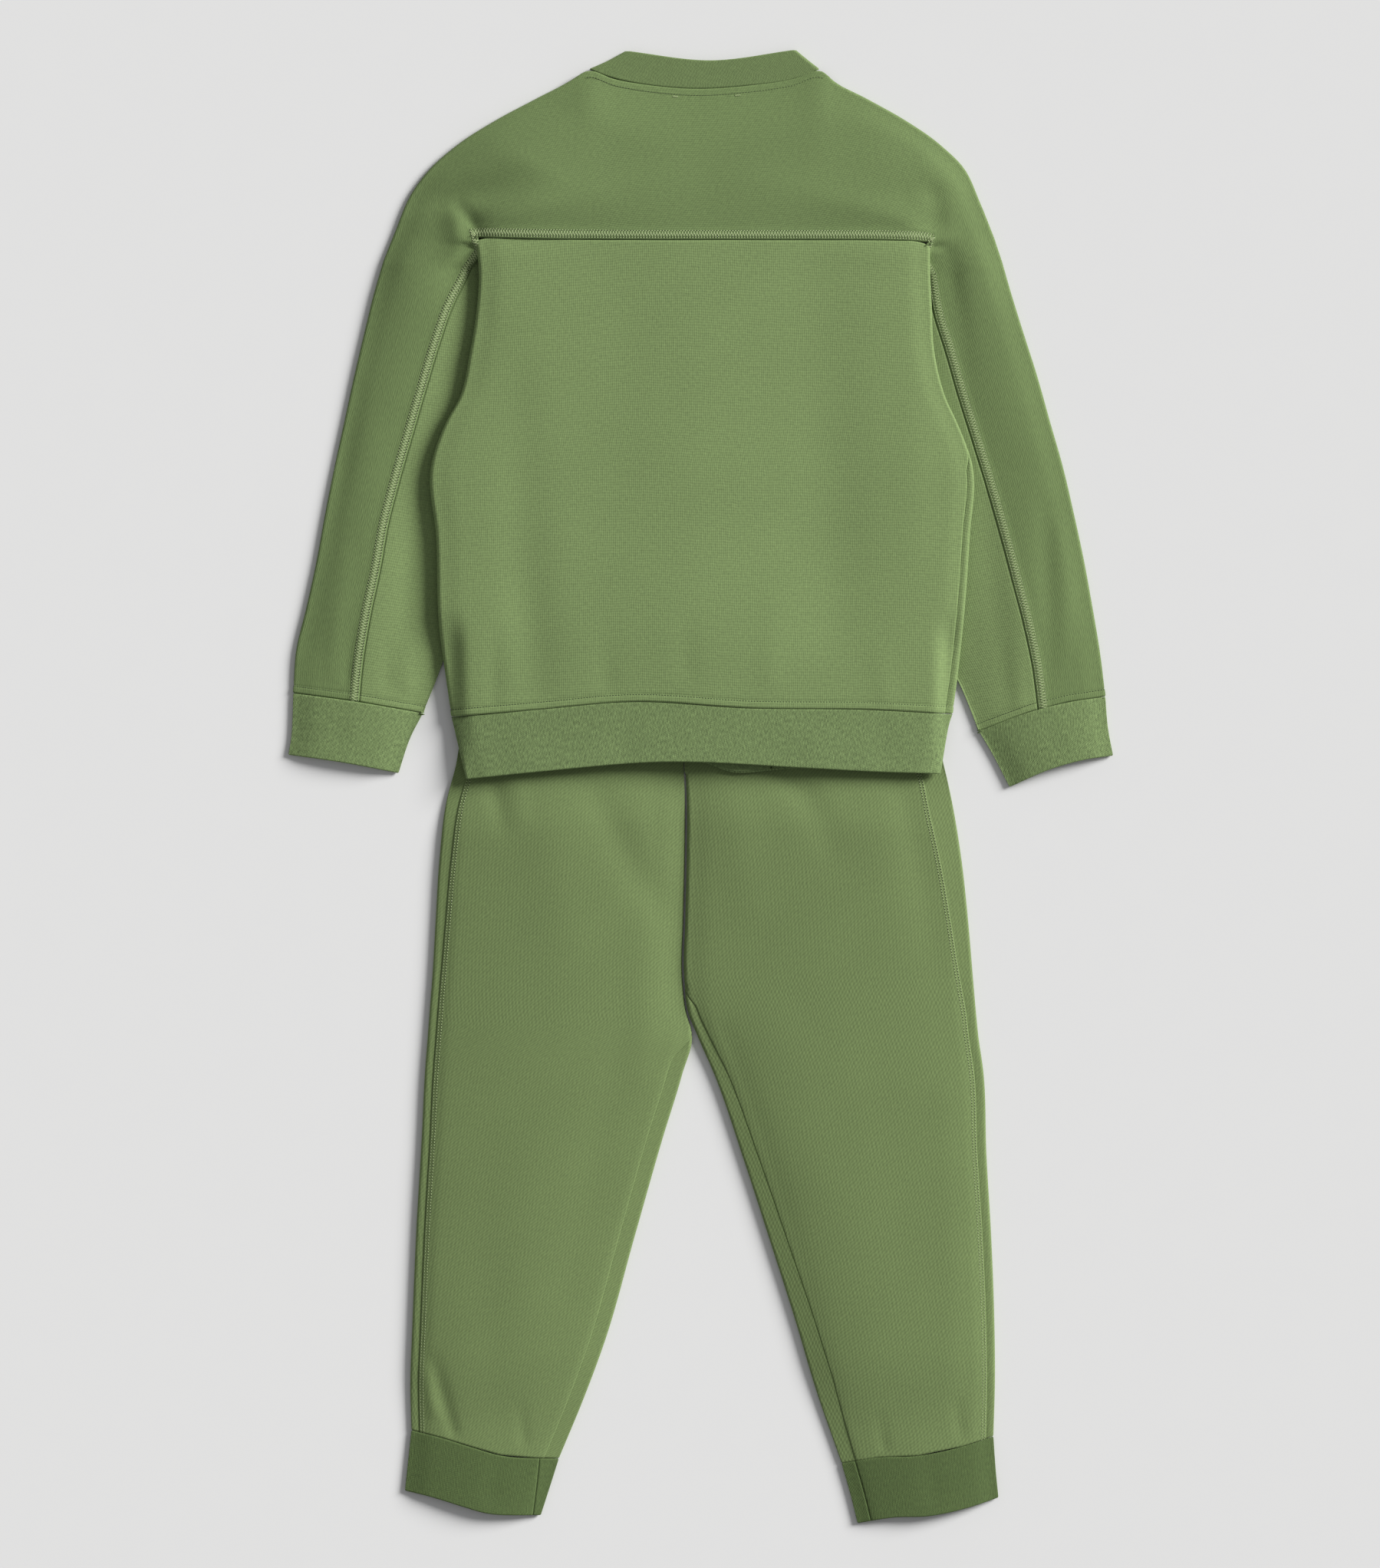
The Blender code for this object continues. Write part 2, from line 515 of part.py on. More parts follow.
def under_sleeve(side, rows, cuff_bow, flip):
    """Rest of a sleeve: from the flatlock seam round the inner edge to the overarm seam."""
    grid = []
    for ring, width in sleeve_sections(rows, cuff_bow):
        around = ring.top + np.array(ROLL_PLACES)
        middle = np.linspace(width + SEAM_GAP, around[0], 4)[:-1]
        under = np.linspace(around[-1], ring.total + UNDER_PLACE - SEAM_GAP, 5)[1:]
        grid.append(ring.at(np.concatenate([middle, around, under])))
    return add_wall(f"under_sleeve_{side}", np.array(grid), BODY_GREEN, flip=flip)


def front_yoke():
    """Upper front: a flat piece under the yoke, from the front neck seam to the front seam."""
    inset = ROLL + WRAP_UNDER + 3 * SEAM_GAP
    neck = Ring(np.array(COLLAR[-1][:2]) + [4.0, -2.0], np.array(COLLAR[-1][2:]) + [-4.0, -2.0],
                bows=(NECK_BOW, NECK_UNDER_BOW))
    neck_line = neck.points[neck.top_count:][::-1][18:-18:11, :2] - [0.0, 1.0]
    fan = stations(SHOULDERS, YOKE_ROWS)
    reach = np.linalg.norm(fan[:, 2:4] - fan[:, :2], axis=1)[:, None]
    shoulder = fan[:, :2] + (fan[:, 2:4] - fan[:, :2]) * inset / reach
    above = shoulder[:, 1] > FRONT_SIDES[0][0]
    sides = np.array(FRONT_SIDES)
    top = np.vstack([sides[:1, (1, 0)], shoulder[above & (shoulder[:, 0] < -98.0)], neck_line,
                     shoulder[above & (shoulder[:, 0] > 104.0)], sides[:1, (2, 0)]])
    across = np.linspace(0.0, 1.0, len(top))
    bottom_x = sides[-1, 1] + (sides[-1, 2] - sides[-1, 1]) * across
    at_body = smooth_step((bottom_x + 216.0) / 10.0) * smooth_step((221.0 - bottom_x) / 10.0)
    bottom_y = FRONT_SEAM_Y + (YOKE_SEAM_Y + SEAM_GAP - FRONT_SEAM_Y) * at_body
    grid = []
    for share in np.linspace(0.0, 1.0, FRONT_YOKE_ROWS):
        x = top[:, 0] + (bottom_x - top[:, 0]) * share
        y = top[:, 1] + (bottom_y - top[:, 1]) * share
        left = np.interp(-y[0], -sides[:, 0], sides[:, 1]) - x[0]
        right = np.interp(-y[-1], -sides[:, 0], sides[:, 2]) - x[-1]
        x = x + left * (1.0 - across) ** 2 + right * across**2
        grid.append(np.column_stack([x, y, shoulder_lift(x, y)]))
    return add_wall("front_yoke", np.array(grid), YOKE_GREEN, flip=True)


def leg_rings(rows, rolls, ankle_bow):
    """Return the rings of one leg, with the centre roll settling to a plain edge below."""
    rings = []
    for span in stations(rows, LEG_ROWS, CENTRE_STRETCH, CENTRE_ROWS):
        below = float(smooth_step((-150.0 - span[1]) / 90.0))
        settled = [roll + (ROLL - roll) * below for roll in rolls]
        late = float(np.clip((ANKLE_BOW_START - span[1]) / (ANKLE_BOW_START + 541.0), 0.0, 1.0))
        bow = [(share, value * late) for share, value in ankle_bow]
        rings.append(Ring(span[:2], span[2:], rolls=settled, folds=LEG_FOLDS, bows=(bow, bow)))
    return rings


def inseam_place(y, table, crotch):
    """Return the inseam's place: under the centre roll, and on the top below the crotch."""
    turn = float(np.clip((crotch - y) / INSEAM_TURN, 0.0, 1.0))
    return UNDER_PLACE + (table_at(table, y) + 1.8 - UNDER_PLACE) * turn


def leg(side, rows, rolls, ankle_bow):
    """Make a leg's back and front panels."""
    is_left = side == "left"
    crotch = CROTCH_Y_LEFT if is_left else CROTCH_Y_RIGHT
    back, front = [], []
    for ring in leg_rings(rows, rolls, ankle_bow):
        y_left, y_right = ring.start[1], ring.end[1]
        if is_left:
            left_seam = table_at(OUTSEAM_LEFT, y_left) + 1.8
            right_seam = inseam_place(y_right, INSEAM_LEFT, crotch)
        else:
            left_seam = inseam_place(y_left, INSEAM_RIGHT, crotch)
            right_seam = table_at(OUTSEAM_RIGHT, y_right) + 1.8
        back.append(strip(ring, left_seam, right_seam, True, LEG_COLUMNS, (not is_left, is_left)))
        front.append(strip(ring, left_seam - seam_gap(left_seam),
                           right_seam - seam_gap(right_seam), False, LEG_COLUMNS))
    add_wall(f"back_leg_{side}", np.array(back), LEG_GREEN)
    add_wall(f"front_leg_{side}", np.array(front), LEG_GREEN)


def clear_scene():
    """Remove what the file starts with and make the part's collection."""
    for thing in list(bpy.data.objects):
        bpy.data.objects.remove(thing, do_unlink=True)
    collection = bpy.data.collections.new(COLLECTION)
    bpy.context.scene.collection.children.link(collection)


def build_sweatshirt():
    """Make the sweatshirt's pieces."""
    back_yoke()
    back_lower()
    front_yoke()
    front_lower()
    under_sleeve("left", SLEEVE_LEFT, CUFF_LEFT_BOW, flip=False)
    under_sleeve("right", SLEEVE_RIGHT, mirrored(CUFF_RIGHT_BOW), flip=True)
    tube("collar", COLLAR, YOKE_GREEN, 4, (COLLAR_EDGE_BOW, NECK_BOW),
         (COLLAR_EDGE_BOW, NECK_UNDER_BOW), 10, wall=COLLAR_WALL)
    tube("cuff_left", CUFF_LEFT, BAND_GREEN, 3, (CUFF_LEFT_BOW,) * 2, (CUFF_LEFT_BOW,) * 2, 7)
    tube("cuff_right", CUFF_RIGHT, BAND_GREEN, 3, (CUFF_RIGHT_BOW,) * 2, (CUFF_RIGHT_BOW,) * 2, 7)
    tube("hem_band", HEM_BAND, BAND_GREEN, 3, (HEM_BOW, HEM_EDGE_BOW), (HEM_BOW, HEM_UNDER_BOW),
         BODY_COLUMNS, ground=lift)


def build_joggers():
    """Make the joggers' pieces."""
    leg("left", LEG_LEFT, (ROLL, CENTRE_ROLL_LEFT), ANKLE_LEFT_BOW)
    leg("right", LEG_RIGHT, (CENTRE_ROLL_RIGHT, ROLL), ANKLE_RIGHT_BOW)
    tube("ankle_cuff_left", ANKLE_LEFT, BAND_GREEN, 3, (ANKLE_LEFT_BOW,) * 2,
         (ANKLE_LEFT_BOW,) * 2, 9)
    tube("ankle_cuff_right", ANKLE_RIGHT, BAND_GREEN, 3, (ANKLE_RIGHT_BOW,) * 2,
         (ANKLE_RIGHT_BOW,) * 2, 9)
    tube("waistband", WAISTBAND, BAND_GREEN, 2, (STRAIGHT,) * 2, (STRAIGHT,) * 2, 6)


def main():
    """Build the set."""
    clear_scene()
    build_sweatshirt()
    build_joggers()


if __name__ == "__main__":
    main()
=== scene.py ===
"""Looks of a two-piece knitted sweat set that lies flat with its back up.

Every panel is a thin cloth shell lofted through the sections of its solid, with soft
creases, seam ridges and its own grain coordinates. Sizes are in millimetres unless a
name says otherwise, and meshes are made in metres, in the frame of the solids.
"""

import logging
import math
from dataclasses import dataclass, field
from enum import Enum
from typing import Callable, Mapping, Sequence

import bpy
import numpy as np
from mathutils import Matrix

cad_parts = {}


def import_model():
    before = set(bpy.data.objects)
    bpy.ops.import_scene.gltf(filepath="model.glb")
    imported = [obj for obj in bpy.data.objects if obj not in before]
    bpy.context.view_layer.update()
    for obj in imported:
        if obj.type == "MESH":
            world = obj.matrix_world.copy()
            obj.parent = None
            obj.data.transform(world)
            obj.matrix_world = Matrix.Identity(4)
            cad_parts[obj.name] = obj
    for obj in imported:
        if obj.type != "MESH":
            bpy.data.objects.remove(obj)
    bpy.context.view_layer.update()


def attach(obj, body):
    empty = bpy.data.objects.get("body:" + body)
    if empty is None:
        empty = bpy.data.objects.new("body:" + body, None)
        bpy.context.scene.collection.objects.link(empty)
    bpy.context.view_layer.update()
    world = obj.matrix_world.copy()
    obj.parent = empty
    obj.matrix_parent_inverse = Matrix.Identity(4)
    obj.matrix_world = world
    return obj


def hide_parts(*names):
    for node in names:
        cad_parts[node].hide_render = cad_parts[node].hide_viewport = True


LOG = logging.getLogger("sweat_set")

Array = np.ndarray
Bow = Sequence[tuple[float, float]]
Rows = Sequence[tuple[float, ...]]
Ground = Callable[[Array, Array], Array]
Settle = Callable[[Array, Array, Array], Array]

MM = 0.001

# The cloth's thickness, and the gap that a seam leaves
CLOTH_WALL = 1.8
BAND_WALL = 2.1
COLLAR_WALL = 1.3
SEAM_GAP = 0.12

# A section: its edge's radius, its greatest height, how far in the height is reached, and
# the share of it that comes at once beside the edge
ROLL = 2.2
CREST = 11.4
SLEEVE_CREST = 8.8
EDGE_REACH = 17.0
EDGE_SHARE = 0.22
NECK_REACH = 50.0
# How far a yoke section goes on past the yoke seam, so that it is still high there
BODY_HOLD = 75.0
# How far a panel's edge lies under its section's roll
WRAP_UNDER = 6.4
UNDER_PLACE = -(ROLL * math.pi / 2 + WRAP_UNDER)
# The crease tables' heights are taken times this
CREASE_DEPTH = 0.7
# How high the sleeves and the waist lift the body, and how far it takes to come down
STOREY = 8.3
STOREY_RAMP = 30.0

ROW_STEP = 4.0
COLUMN_STEP = 4.0
BAND_ROW_STEP = 3.0
BAND_COLUMNS = 24
# Even columns nearer to a placed one than this share of their step are left out
NEAR_SHARE = 0.4

# Places beside a rolled edge, on both sides of its turn
EDGE_PLACES = np.linspace(-6.0, 6.0, 13)
# Distances in from a sewn edge, close enough together to carry its ridge and grooves
FINE = np.array([0.0, 0.3, 0.7, 1.2, 1.9, 2.8, 4.0, 5.2, 6.0, 6.7, 7.6, 8.8, 10.2, 12.0])
FOLD_FINE = np.array([0.0, 0.12, 0.3, 0.6, 1.0, 1.6, 2.6])
ROLL_PLACES = np.linspace(-5.2, 6.8, len(FINE) - 1)

# The relief beside a seam: the dip at its line, the grooves of its needle rows, and how
# far the ridge of its allowance takes to rise and goes past the allowance's edge
SEAM_DIP = 0.6
SEAM_DIP_REACH = 0.55
NEEDLE_GROOVE = 0.42
NEEDLE_GROOVE_REACH = 0.75
ALLOWANCE_RISE = 1.2
ALLOWANCE_PAST = 0.8

STITCH_PITCH = 2.4
SHARP_ANGLE = math.radians(55.0)

STRAIGHT: Bow = [(0.0, 0.0), (1.0, 0.0)]


class Slot(Enum):
    """The record's material slots."""
    YOKE = "yoke_knit"
    BODY = "body_knit"
    LEG = "leg_knit"
    BAND = "band_knit"


class Cloth(Enum):
    """The cloths of the set, each with the record's slot that it belongs to."""
    YOKE = ("yoke", Slot.YOKE)
    BODY = ("body", Slot.BODY)
    LEG = ("leg", Slot.LEG)
    RIB = ("rib", Slot.BAND)
    ANKLE_RIB = ("ankle rib", Slot.BAND)
    COLLAR_RIB = ("collar rib", Slot.YOKE)

    @property
    def slot(self) -> Slot:
        """Return the record's slot."""
        return self.value[1]


class Side(Enum):
    """The four sides of a panel's grid of points."""
    FIRST_ROW = "first row"
    LAST_ROW = "last row"
    FIRST_COLUMN = "first column"
    LAST_COLUMN = "last column"


class Seam(Enum):
    """The ways in which a panel's edge is finished."""
    PLAIN = "plain seam"
    TOPSTITCHED = "allowance topstitched to one side"
    FLATLOCK = "two needle rows with cover threads"
    TWO_ROW = "two rows beside the seam"
    FOLDED = "folded edge"


@dataclass(frozen=True)
class SeamForm:
    """The relief of a sewn edge."""
    allowance: float = 0.0
    rise: float = 0.0
    needle_rows: tuple[float, ...] = ()


SEAM_FORMS = {
    Seam.PLAIN: SeamForm(),
    Seam.TOPSTITCHED: SeamForm(6.0, 0.32, (6.2,)),
    Seam.FLATLOCK: SeamForm(9.6, 0.5, (2.2, 8.2)),
    Seam.TWO_ROW: SeamForm(5.4, 0.25, (1.9, 4.5)),
}


def smooth_step(value: Array | float) -> Array:
    """Return 0 below 0, 1 above 1, and an even curve between."""
    value = np.clip(value, 0.0, 1.0)
    return value * value * (3.0 - 2.0 * value)


def table_at(table: Sequence[tuple[float, float]], key: Array | float) -> Array:
    """Read a two-column table at a key, with straight lines between its rows."""
    rows = sorted(table)
    return np.interp(key, [row[0] for row in rows], [row[1] for row in rows])


def lengths(points: Array) -> Array:
    """Return the distance along a line of points to each of them."""
    step = np.linalg.norm(np.diff(points, axis=0), axis=1)
    return np.concatenate([[0.0], np.cumsum(step)])


def smooth_curve(table: Array, slope: Array, along: Array, wanted: Array) -> Array:
    """Read a table along a smooth curve through its rows.

    Args:
        table: Its values, a row for each place.
        slope: Their slopes.
        along: The rows' places.
        wanted: The places to read.

    Returns:
        The values there.
    """
    index = np.clip(np.searchsorted(along, wanted) - 1, 0, len(along) - 2)
    shape = (-1,) + (1,) * (table.ndim - 1)
    length = (along[index + 1] - along[index]).reshape(shape)
    t = (wanted - along[index]).reshape(shape) / length
    return (table[index] * (2 * t**3 - 3 * t**2 + 1)
            + slope[index] * length * (t**3 - 2 * t**2 + t)
            + table[index + 1] * (3 * t**2 - 2 * t**3)
            + slope[index + 1] * length * (t**3 - t**2))


def bow_at(bow: Bow, share: Array) -> Array:
    """Read a bow table along a smooth curve through its rows."""
    rows = np.array(sorted(bow))
    if len(rows) < 3:
        return np.interp(share, rows[:, 0], rows[:, 1])
    slope = np.gradient(rows[:, 1], rows[:, 0])
    return smooth_curve(rows[:, 1], slope, rows[:, 0], share)


def seam_rise(seam: Seam, inward: Array) -> Array:
    """Work out how far the cloth stands out beside a seam.

    Args:
        seam: How the edge is finished.
        inward: Distances in from the edge.

    Returns:
        The rise at each distance, below zero for a dip.
    """
    if seam is Seam.FOLDED:
        radius = BAND_WALL / 2
        share = np.clip(1.0 - inward / radius, 0.0, 1.0)
        return -radius * (1.0 - np.sqrt(1.0 - share**2))
    form = SEAM_FORMS[seam]
    total = -SEAM_DIP * np.exp(-((inward / SEAM_DIP_REACH) ** 2))
    if form.allowance:
        end = form.allowance + ALLOWANCE_PAST - inward
        total += (form.rise * smooth_step(inward / ALLOWANCE_RISE)
                  * smooth_step(end / ALLOWANCE_RISE))
    for place in form.needle_rows:
        total -= NEEDLE_GROOVE * np.exp(-(((inward - place) / NEEDLE_GROOVE_REACH) ** 2))
    return total


@dataclass(frozen=True)
class Crease:
    """A soft trough or ridge along a line of (x, y, half width, height) points."""
    points: tuple[tuple[float, float, float, float], ...]

    def height(self, x: Array, y: Array) -> Array:
        """Work out the crease's height.

        Args:
            x: Places across.
            y: Places along, of the same shape.

        Returns:
            The height at each place, below zero for a trough.
        """
        best = np.full(x.shape, np.inf)
        total = np.zeros(x.shape)
        for start, end in zip(self.points[:-1], self.points[1:]):
            run = np.array(end[:2]) - start[:2]
            share = ((x - start[0]) * run[0] + (y - start[1]) * run[1]) / float(run @ run)
            share = np.clip(share, 0.0, 1.0)
            away = (x - start[0] - share * run[0]) ** 2 + (y - start[1] - share * run[1]) ** 2
            half = start[2] + share * (end[2] - start[2])
            rise = start[3] + share * (end[3] - start[3])
            value = rise * np.exp(-away / half**2)
            nearer = away < best
            total = np.where(nearer, value, total)
            best = np.minimum(best, away)
        return total


@dataclass
class Loft:
    """A smooth curve through the rows of a section table."""
    rows: Rows
    table: Array = field(init=False)
    along: Array = field(init=False)
    slope: Array = field(init=False)

    def __post_init__(self) -> None:
        """Measure the table."""
        self.table = np.array(self.rows, dtype=float)
        self.along = lengths(self.table[:, :4])
        self.slope = np.gradient(self.table, self.along, axis=0)

    def at(self, wanted: Array) -> Array:
        """Return the table's rows at distances along it."""
        return smooth_curve(self.table, self.slope, self.along, wanted)

    def spaced(self, fine_start: Array, fine_end: Array, step: float = ROW_STEP) -> Array:
        """Return rows an even step apart, closer at the two ends.

        Args:
            fine_start: Distances in from the first row. The table's own measure runs over
                both edges at once, so it is longer than the cloth by the root of two.
            fine_end: Distances in from the last row.
            step: The even step.

        Returns:
            One row of the table for each place.
        """
        stretch = math.sqrt(2.0)
        head = np.array(fine_start) * stretch
        tail = np.array(fine_end) * stretch
        middle = self.along[-1] - head[-1] - tail[-1]
        count = max(2, round(middle / (step * stretch)))
        inner = np.linspace(head[-1], self.along[-1] - tail[-1], count + 1)[1:-1]
        return self.at(np.concatenate([head, inner, self.along[-1] - tail[::-1]]))


def no_lift(x: Array, y: Array) -> Array:
    """Return zero for a piece that lies on the surface."""
    return np.zeros_like(x)


def unchanged(x: Array, y: Array, height: Array) -> Array:
    """Return the height as it is, for a piece that nothing presses."""
    return height


def dome(inward: Array, half_width: float, reach: float = EDGE_REACH) -> Array:
    """Return how full the cloth is at distances in from a rolled edge, from 0 to 1.

    Args:
        inward: Distances in from the edge.
        half_width: Half the section's width.
        reach: How far in the quick rise beside the edge goes.

    Returns:
        The share of the crest at each distance.
    """
    near = smooth_step(inward / min(reach, half_width))
    short = 1.0 - np.clip(inward / half_width, 0.0, 1.0)
    return EDGE_SHARE * near + (1.0 - EDGE_SHARE) * (1.0 - short**2)


@dataclass
class Ring:
    """A closed flat-tube section, measured along its cloth from the left edge over the top."""
    start: Array
    end: Array
    rolls: tuple[float, float] = (ROLL, ROLL)
    bows: tuple[Bow, Bow] = (STRAIGHT, STRAIGHT)
    ground: Ground = no_lift
    reach: float = EDGE_REACH
    crest: float = CREST
    points: Array = field(init=False)
    along: Array = field(init=False)
    total: float = field(init=False)
    top: float = field(init=False)
    top_count: int = field(init=False)

    ARC_STEPS = 14
    FLAT_STEPS = 150

    def __post_init__(self) -> None:
        """Lay out the section's points."""
        self.start = np.array(self.start, dtype=float)
        self.end = np.array(self.end, dtype=float)
        width = float(np.linalg.norm(self.end - self.start))
        roll_a, roll_b = self.rolls
        angle = np.linspace(0.0, math.pi / 2, self.ARC_STEPS)
        flat = np.linspace(roll_a, width - roll_b, self.FLAT_STEPS)
        rise = dome(flat - roll_a, width / 2, self.reach)
        fall = dome(width - roll_b - flat, width / 2)
        edge = roll_a + (roll_b - roll_a) * (flat - roll_a) / (width - roll_a - roll_b)
        top = 2 * edge + (self.crest - 2 * edge) * rise * fall
        self.top_count = 2 * self.ARC_STEPS + self.FLAT_STEPS
        along = np.concatenate([
            roll_a * (1 - np.cos(angle)), flat, width - roll_b * (1 - np.cos(angle[::-1])),
            width - roll_b * (1 - np.cos(angle)), flat[::-1],
            roll_a * (1 - np.cos(angle[::-1]))])
        height = np.concatenate([
            roll_a * (1 + np.sin(angle)), top, roll_b * (1 + np.sin(angle[::-1])),
            roll_b * (1 - np.sin(angle)), np.zeros_like(flat),
            roll_a * (1 - np.sin(angle[::-1]))])
        plan = self.start + (self.end - self.start) * (along / width)[:, None]
        is_top = np.arange(len(along)) < self.top_count
        plan[:, 1] += np.where(is_top, table_at(self.bows[0], along / width),
                               table_at(self.bows[1], along / width))
        height = height + self.ground(plan[:, 0], plan[:, 1])
        self.points = np.column_stack([plan, height])
        self.along = lengths(self.points)
        self.total = self.along[-1] + float(np.linalg.norm(self.points[0] - self.points[-1]))
        self.top = float(self.along[self.top_count - 1])

    def at(self, distance: Array) -> Array:
        """Return the points at distances along the ring, which may run past its start."""
        distance = np.mod(distance, self.total)
        along = np.append(self.along, self.total)
        points = np.vstack([self.points, self.points[:1]])
        return np.column_stack([np.interp(distance, along, points[:, k]) for k in range(3)])


def roll_columns(place: float, rising: bool) -> Array:
    """Return column places from a seam round an edge's roll; those above 0 are on the top."""
    roll = ROLL_PLACES if rising else -ROLL_PLACES
    beyond = np.maximum(place + FINE[1:], roll) if rising else np.minimum(place - FINE[1:], roll)
    return np.concatenate([[place], beyond])


def strip(ring: Ring, left: float, right: float, over_top: bool, middle: int) -> Array:
    """Return a panel's points across a ring.

    Args:
        ring: The section.
        left: The place of the panel's seam at the left edge.
        right: Its place at the right edge.
        over_top: Whether the panel lies on the top.
        middle: How many columns lie between the two edges' own.

    Returns:
        One point for each column.
    """
    at_left = roll_columns(left, over_top)
    at_right = roll_columns(right, over_top)
    if over_top:
        head, tail = at_left, ring.top - at_right[::-1]
    else:
        head, tail = ring.top - at_right, ring.total + at_left[::-1]
    run = np.linspace(head[-1], tail[0], middle + 2)[1:-1]
    return ring.at(np.concatenate([head, run, tail]))


def blend_bows(first: Bow, last: Bow, shares: Array) -> list[Bow]:
    """Return one bow for each row, going from the first seam's bow to the last's."""
    across = np.linspace(0.0, 1.0, 101)
    start, end = bow_at(first, across), bow_at(last, across)
    return [list(zip(across, start + (end - start) * share)) for share in shares]


def row_shares(spans: Array) -> Array:
    """Return each row's share of the way from the first row to the last."""
    along = lengths(spans[:, :4])
    return along / along[-1]


class NodeCalls:
    """Short calls that add nodes to a tree."""
    tree: bpy.types.NodeTree

    def fill(self, socket: bpy.types.NodeSocket, value: object) -> None:
        """Link an output to an input, or set the input's constant."""
        if isinstance(value, bpy.types.NodeSocket):
            self.tree.links.new(value, socket)
        else:
            socket.default_value = value

    def add(self, kind: str, inputs: Mapping[str | int, object] | None = None,
            **settings: object) -> bpy.types.Node:
        """Add a node.

        Args:
            kind: Its type.
            inputs: What goes into its inputs: outputs of other nodes, or constants.
            settings: Its properties, which are set first.

        Returns:
            The node.
        """
        node = self.tree.nodes.new(kind)
        for name, value in settings.items():
            setattr(node, name, value)
        for key, value in (inputs or {}).items():
            self.fill(node.inputs[key], value)
        return node

    def math(self, operation: str, first: object, second: object = 0.0) -> bpy.types.NodeSocket:
        """Add a Math node of two outputs or numbers, and return its output."""
        return self.add("ShaderNodeMath", {0: first, 1: second}, operation=operation).outputs[0]


class Nodes(NodeCalls):
    """The nodes of a Principled material."""

    def __init__(self, material: bpy.types.Material) -> None:
        """Start from an empty Principled material."""
        material.use_nodes = True
        self.tree = material.node_tree
        self.shader = self.tree.nodes["Principled BSDF"]

    def noise(self, vector: bpy.types.NodeSocket, scale: float,
              detail: float = 2.0) -> bpy.types.NodeSocket:
        """Add a noise that reads a vector, and return its value less one half."""
        node = self.add("ShaderNodeTexNoise", {"Scale": scale, "Detail": detail, "Vector": vector},
                        noise_dimensions="3D")
        return self.math("SUBTRACT", node.outputs["Fac"], 0.5)

    def set(self, **values: object) -> None:
        """Fill the shader's inputs, named with underscores for spaces."""
        for name, value in values.items():
            self.fill(self.shader.inputs[name.replace("_", " ")], value)

    def weighted(self, total: object, source: bpy.types.NodeSocket,
                 weight: float) -> bpy.types.NodeSocket:
        """Add an output, times a weight, to a total."""
        return self.math("ADD", total, self.math("MULTIPLY", source, weight))

    def tint(self, colour: tuple[float, float, float], tone: bpy.types.NodeSocket) -> None:
        """Make the base colour a colour made lighter or darker by a tone about 0."""
        scale = self.add("ShaderNodeVectorMath", {0: colour, "Scale": self.math("ADD", tone, 1.0)},
                         operation="SCALE")
        self.set(Base_Color=scale.outputs[0])


@dataclass(frozen=True)
class KnitFinish:
    """A knitted cloth. Pitches are in millimetres along the grain coordinates."""
    name: str
    colour: tuple[float, float, float]
    wale_pitch: float = 1.7
    course_pitch: float = 2.2
    slant: float = 0.5
    wale_contrast: float = 0.06
    course_contrast: float = 0.06
    heather: float = 0.57
    cloud: float = 0.12
    relief: float = 0.09
    roughness: float = 0.88
    # How far the wales and courses wander, and how fine that is
    wander: tuple[float, float] = (2.4, 3.0)
    wander_scale: float = 0.08
    fleck_stretch: tuple[float, float, float] = (1.0, 0.55, 1.0)
    fleck_scale: float = 0.55
    fleck_detail: float = 3.0
    fleck_rough: float = 0.12
    fleck_relief: float = 1.6
    loop_relief: float = 0.5
    cloud_scale: float = 0.016
    bump_strength: float = 0.6

    def wave(self, nodes: Nodes, u: bpy.types.NodeSocket, v: bpy.types.NodeSocket,
             across: float, along: float) -> bpy.types.NodeSocket:
        """Add a sine wave over the cloth, with its turns per millimetre across and along."""
        turn = 2 * math.pi
        phase = nodes.math("ADD", nodes.math("MULTIPLY", u, turn * across),
                           nodes.math("MULTIPLY", v, turn * along))
        return nodes.math("SINE", phase)

    def make(self) -> bpy.types.Material:
        """Build the material."""
        material = bpy.data.materials.new(self.name)
        nodes = Nodes(material)
        grain = nodes.add("ShaderNodeUVMap", uv_map="grain").outputs[0]
        split = nodes.add("ShaderNodeSeparateXYZ", {0: grain}).outputs
        wander = nodes.noise(grain, self.wander_scale)
        u, v = (nodes.weighted(split[k], wander, self.wander[k]) for k in range(2))
        wales = self.wave(nodes, u, v, 1.0 / self.wale_pitch, 0.0)
        courses = self.wave(nodes, u, v, self.slant / self.wale_pitch, 1.0 / self.course_pitch)
        stretch = nodes.add("ShaderNodeMapping", {"Scale": self.fleck_stretch, "Vector": grain})
        fleck = nodes.noise(stretch.outputs[0], self.fleck_scale, self.fleck_detail)
        cloud = nodes.noise(grain, self.cloud_scale)
        tone = nodes.math("MULTIPLY", wales, self.wale_contrast)
        for source, weight in ((courses, self.course_contrast), (fleck, self.heather),
                               (cloud, self.cloud)):
            tone = nodes.weighted(tone, source, weight)
        nodes.tint(self.colour, tone)
        height = nodes.weighted(nodes.math("MULTIPLY", wales, self.loop_relief), courses,
                                self.loop_relief)
        height = nodes.weighted(height, fleck, self.fleck_relief)
        bump = nodes.add("ShaderNodeBump", {"Strength": self.bump_strength,
                                            "Distance": self.relief * MM, "Height": height})
        rough = nodes.math("MULTIPLY", fleck, self.fleck_rough)
        nodes.set(Roughness=nodes.math("ADD", rough, self.roughness), Normal=bump.outputs[0],
                  Specular_IOR_Level=0.25, Sheen_Weight=0.18, Sheen_Roughness=0.45,
                  Sheen_Tint=(0.75, 0.9, 0.55, 1.0))
        return material


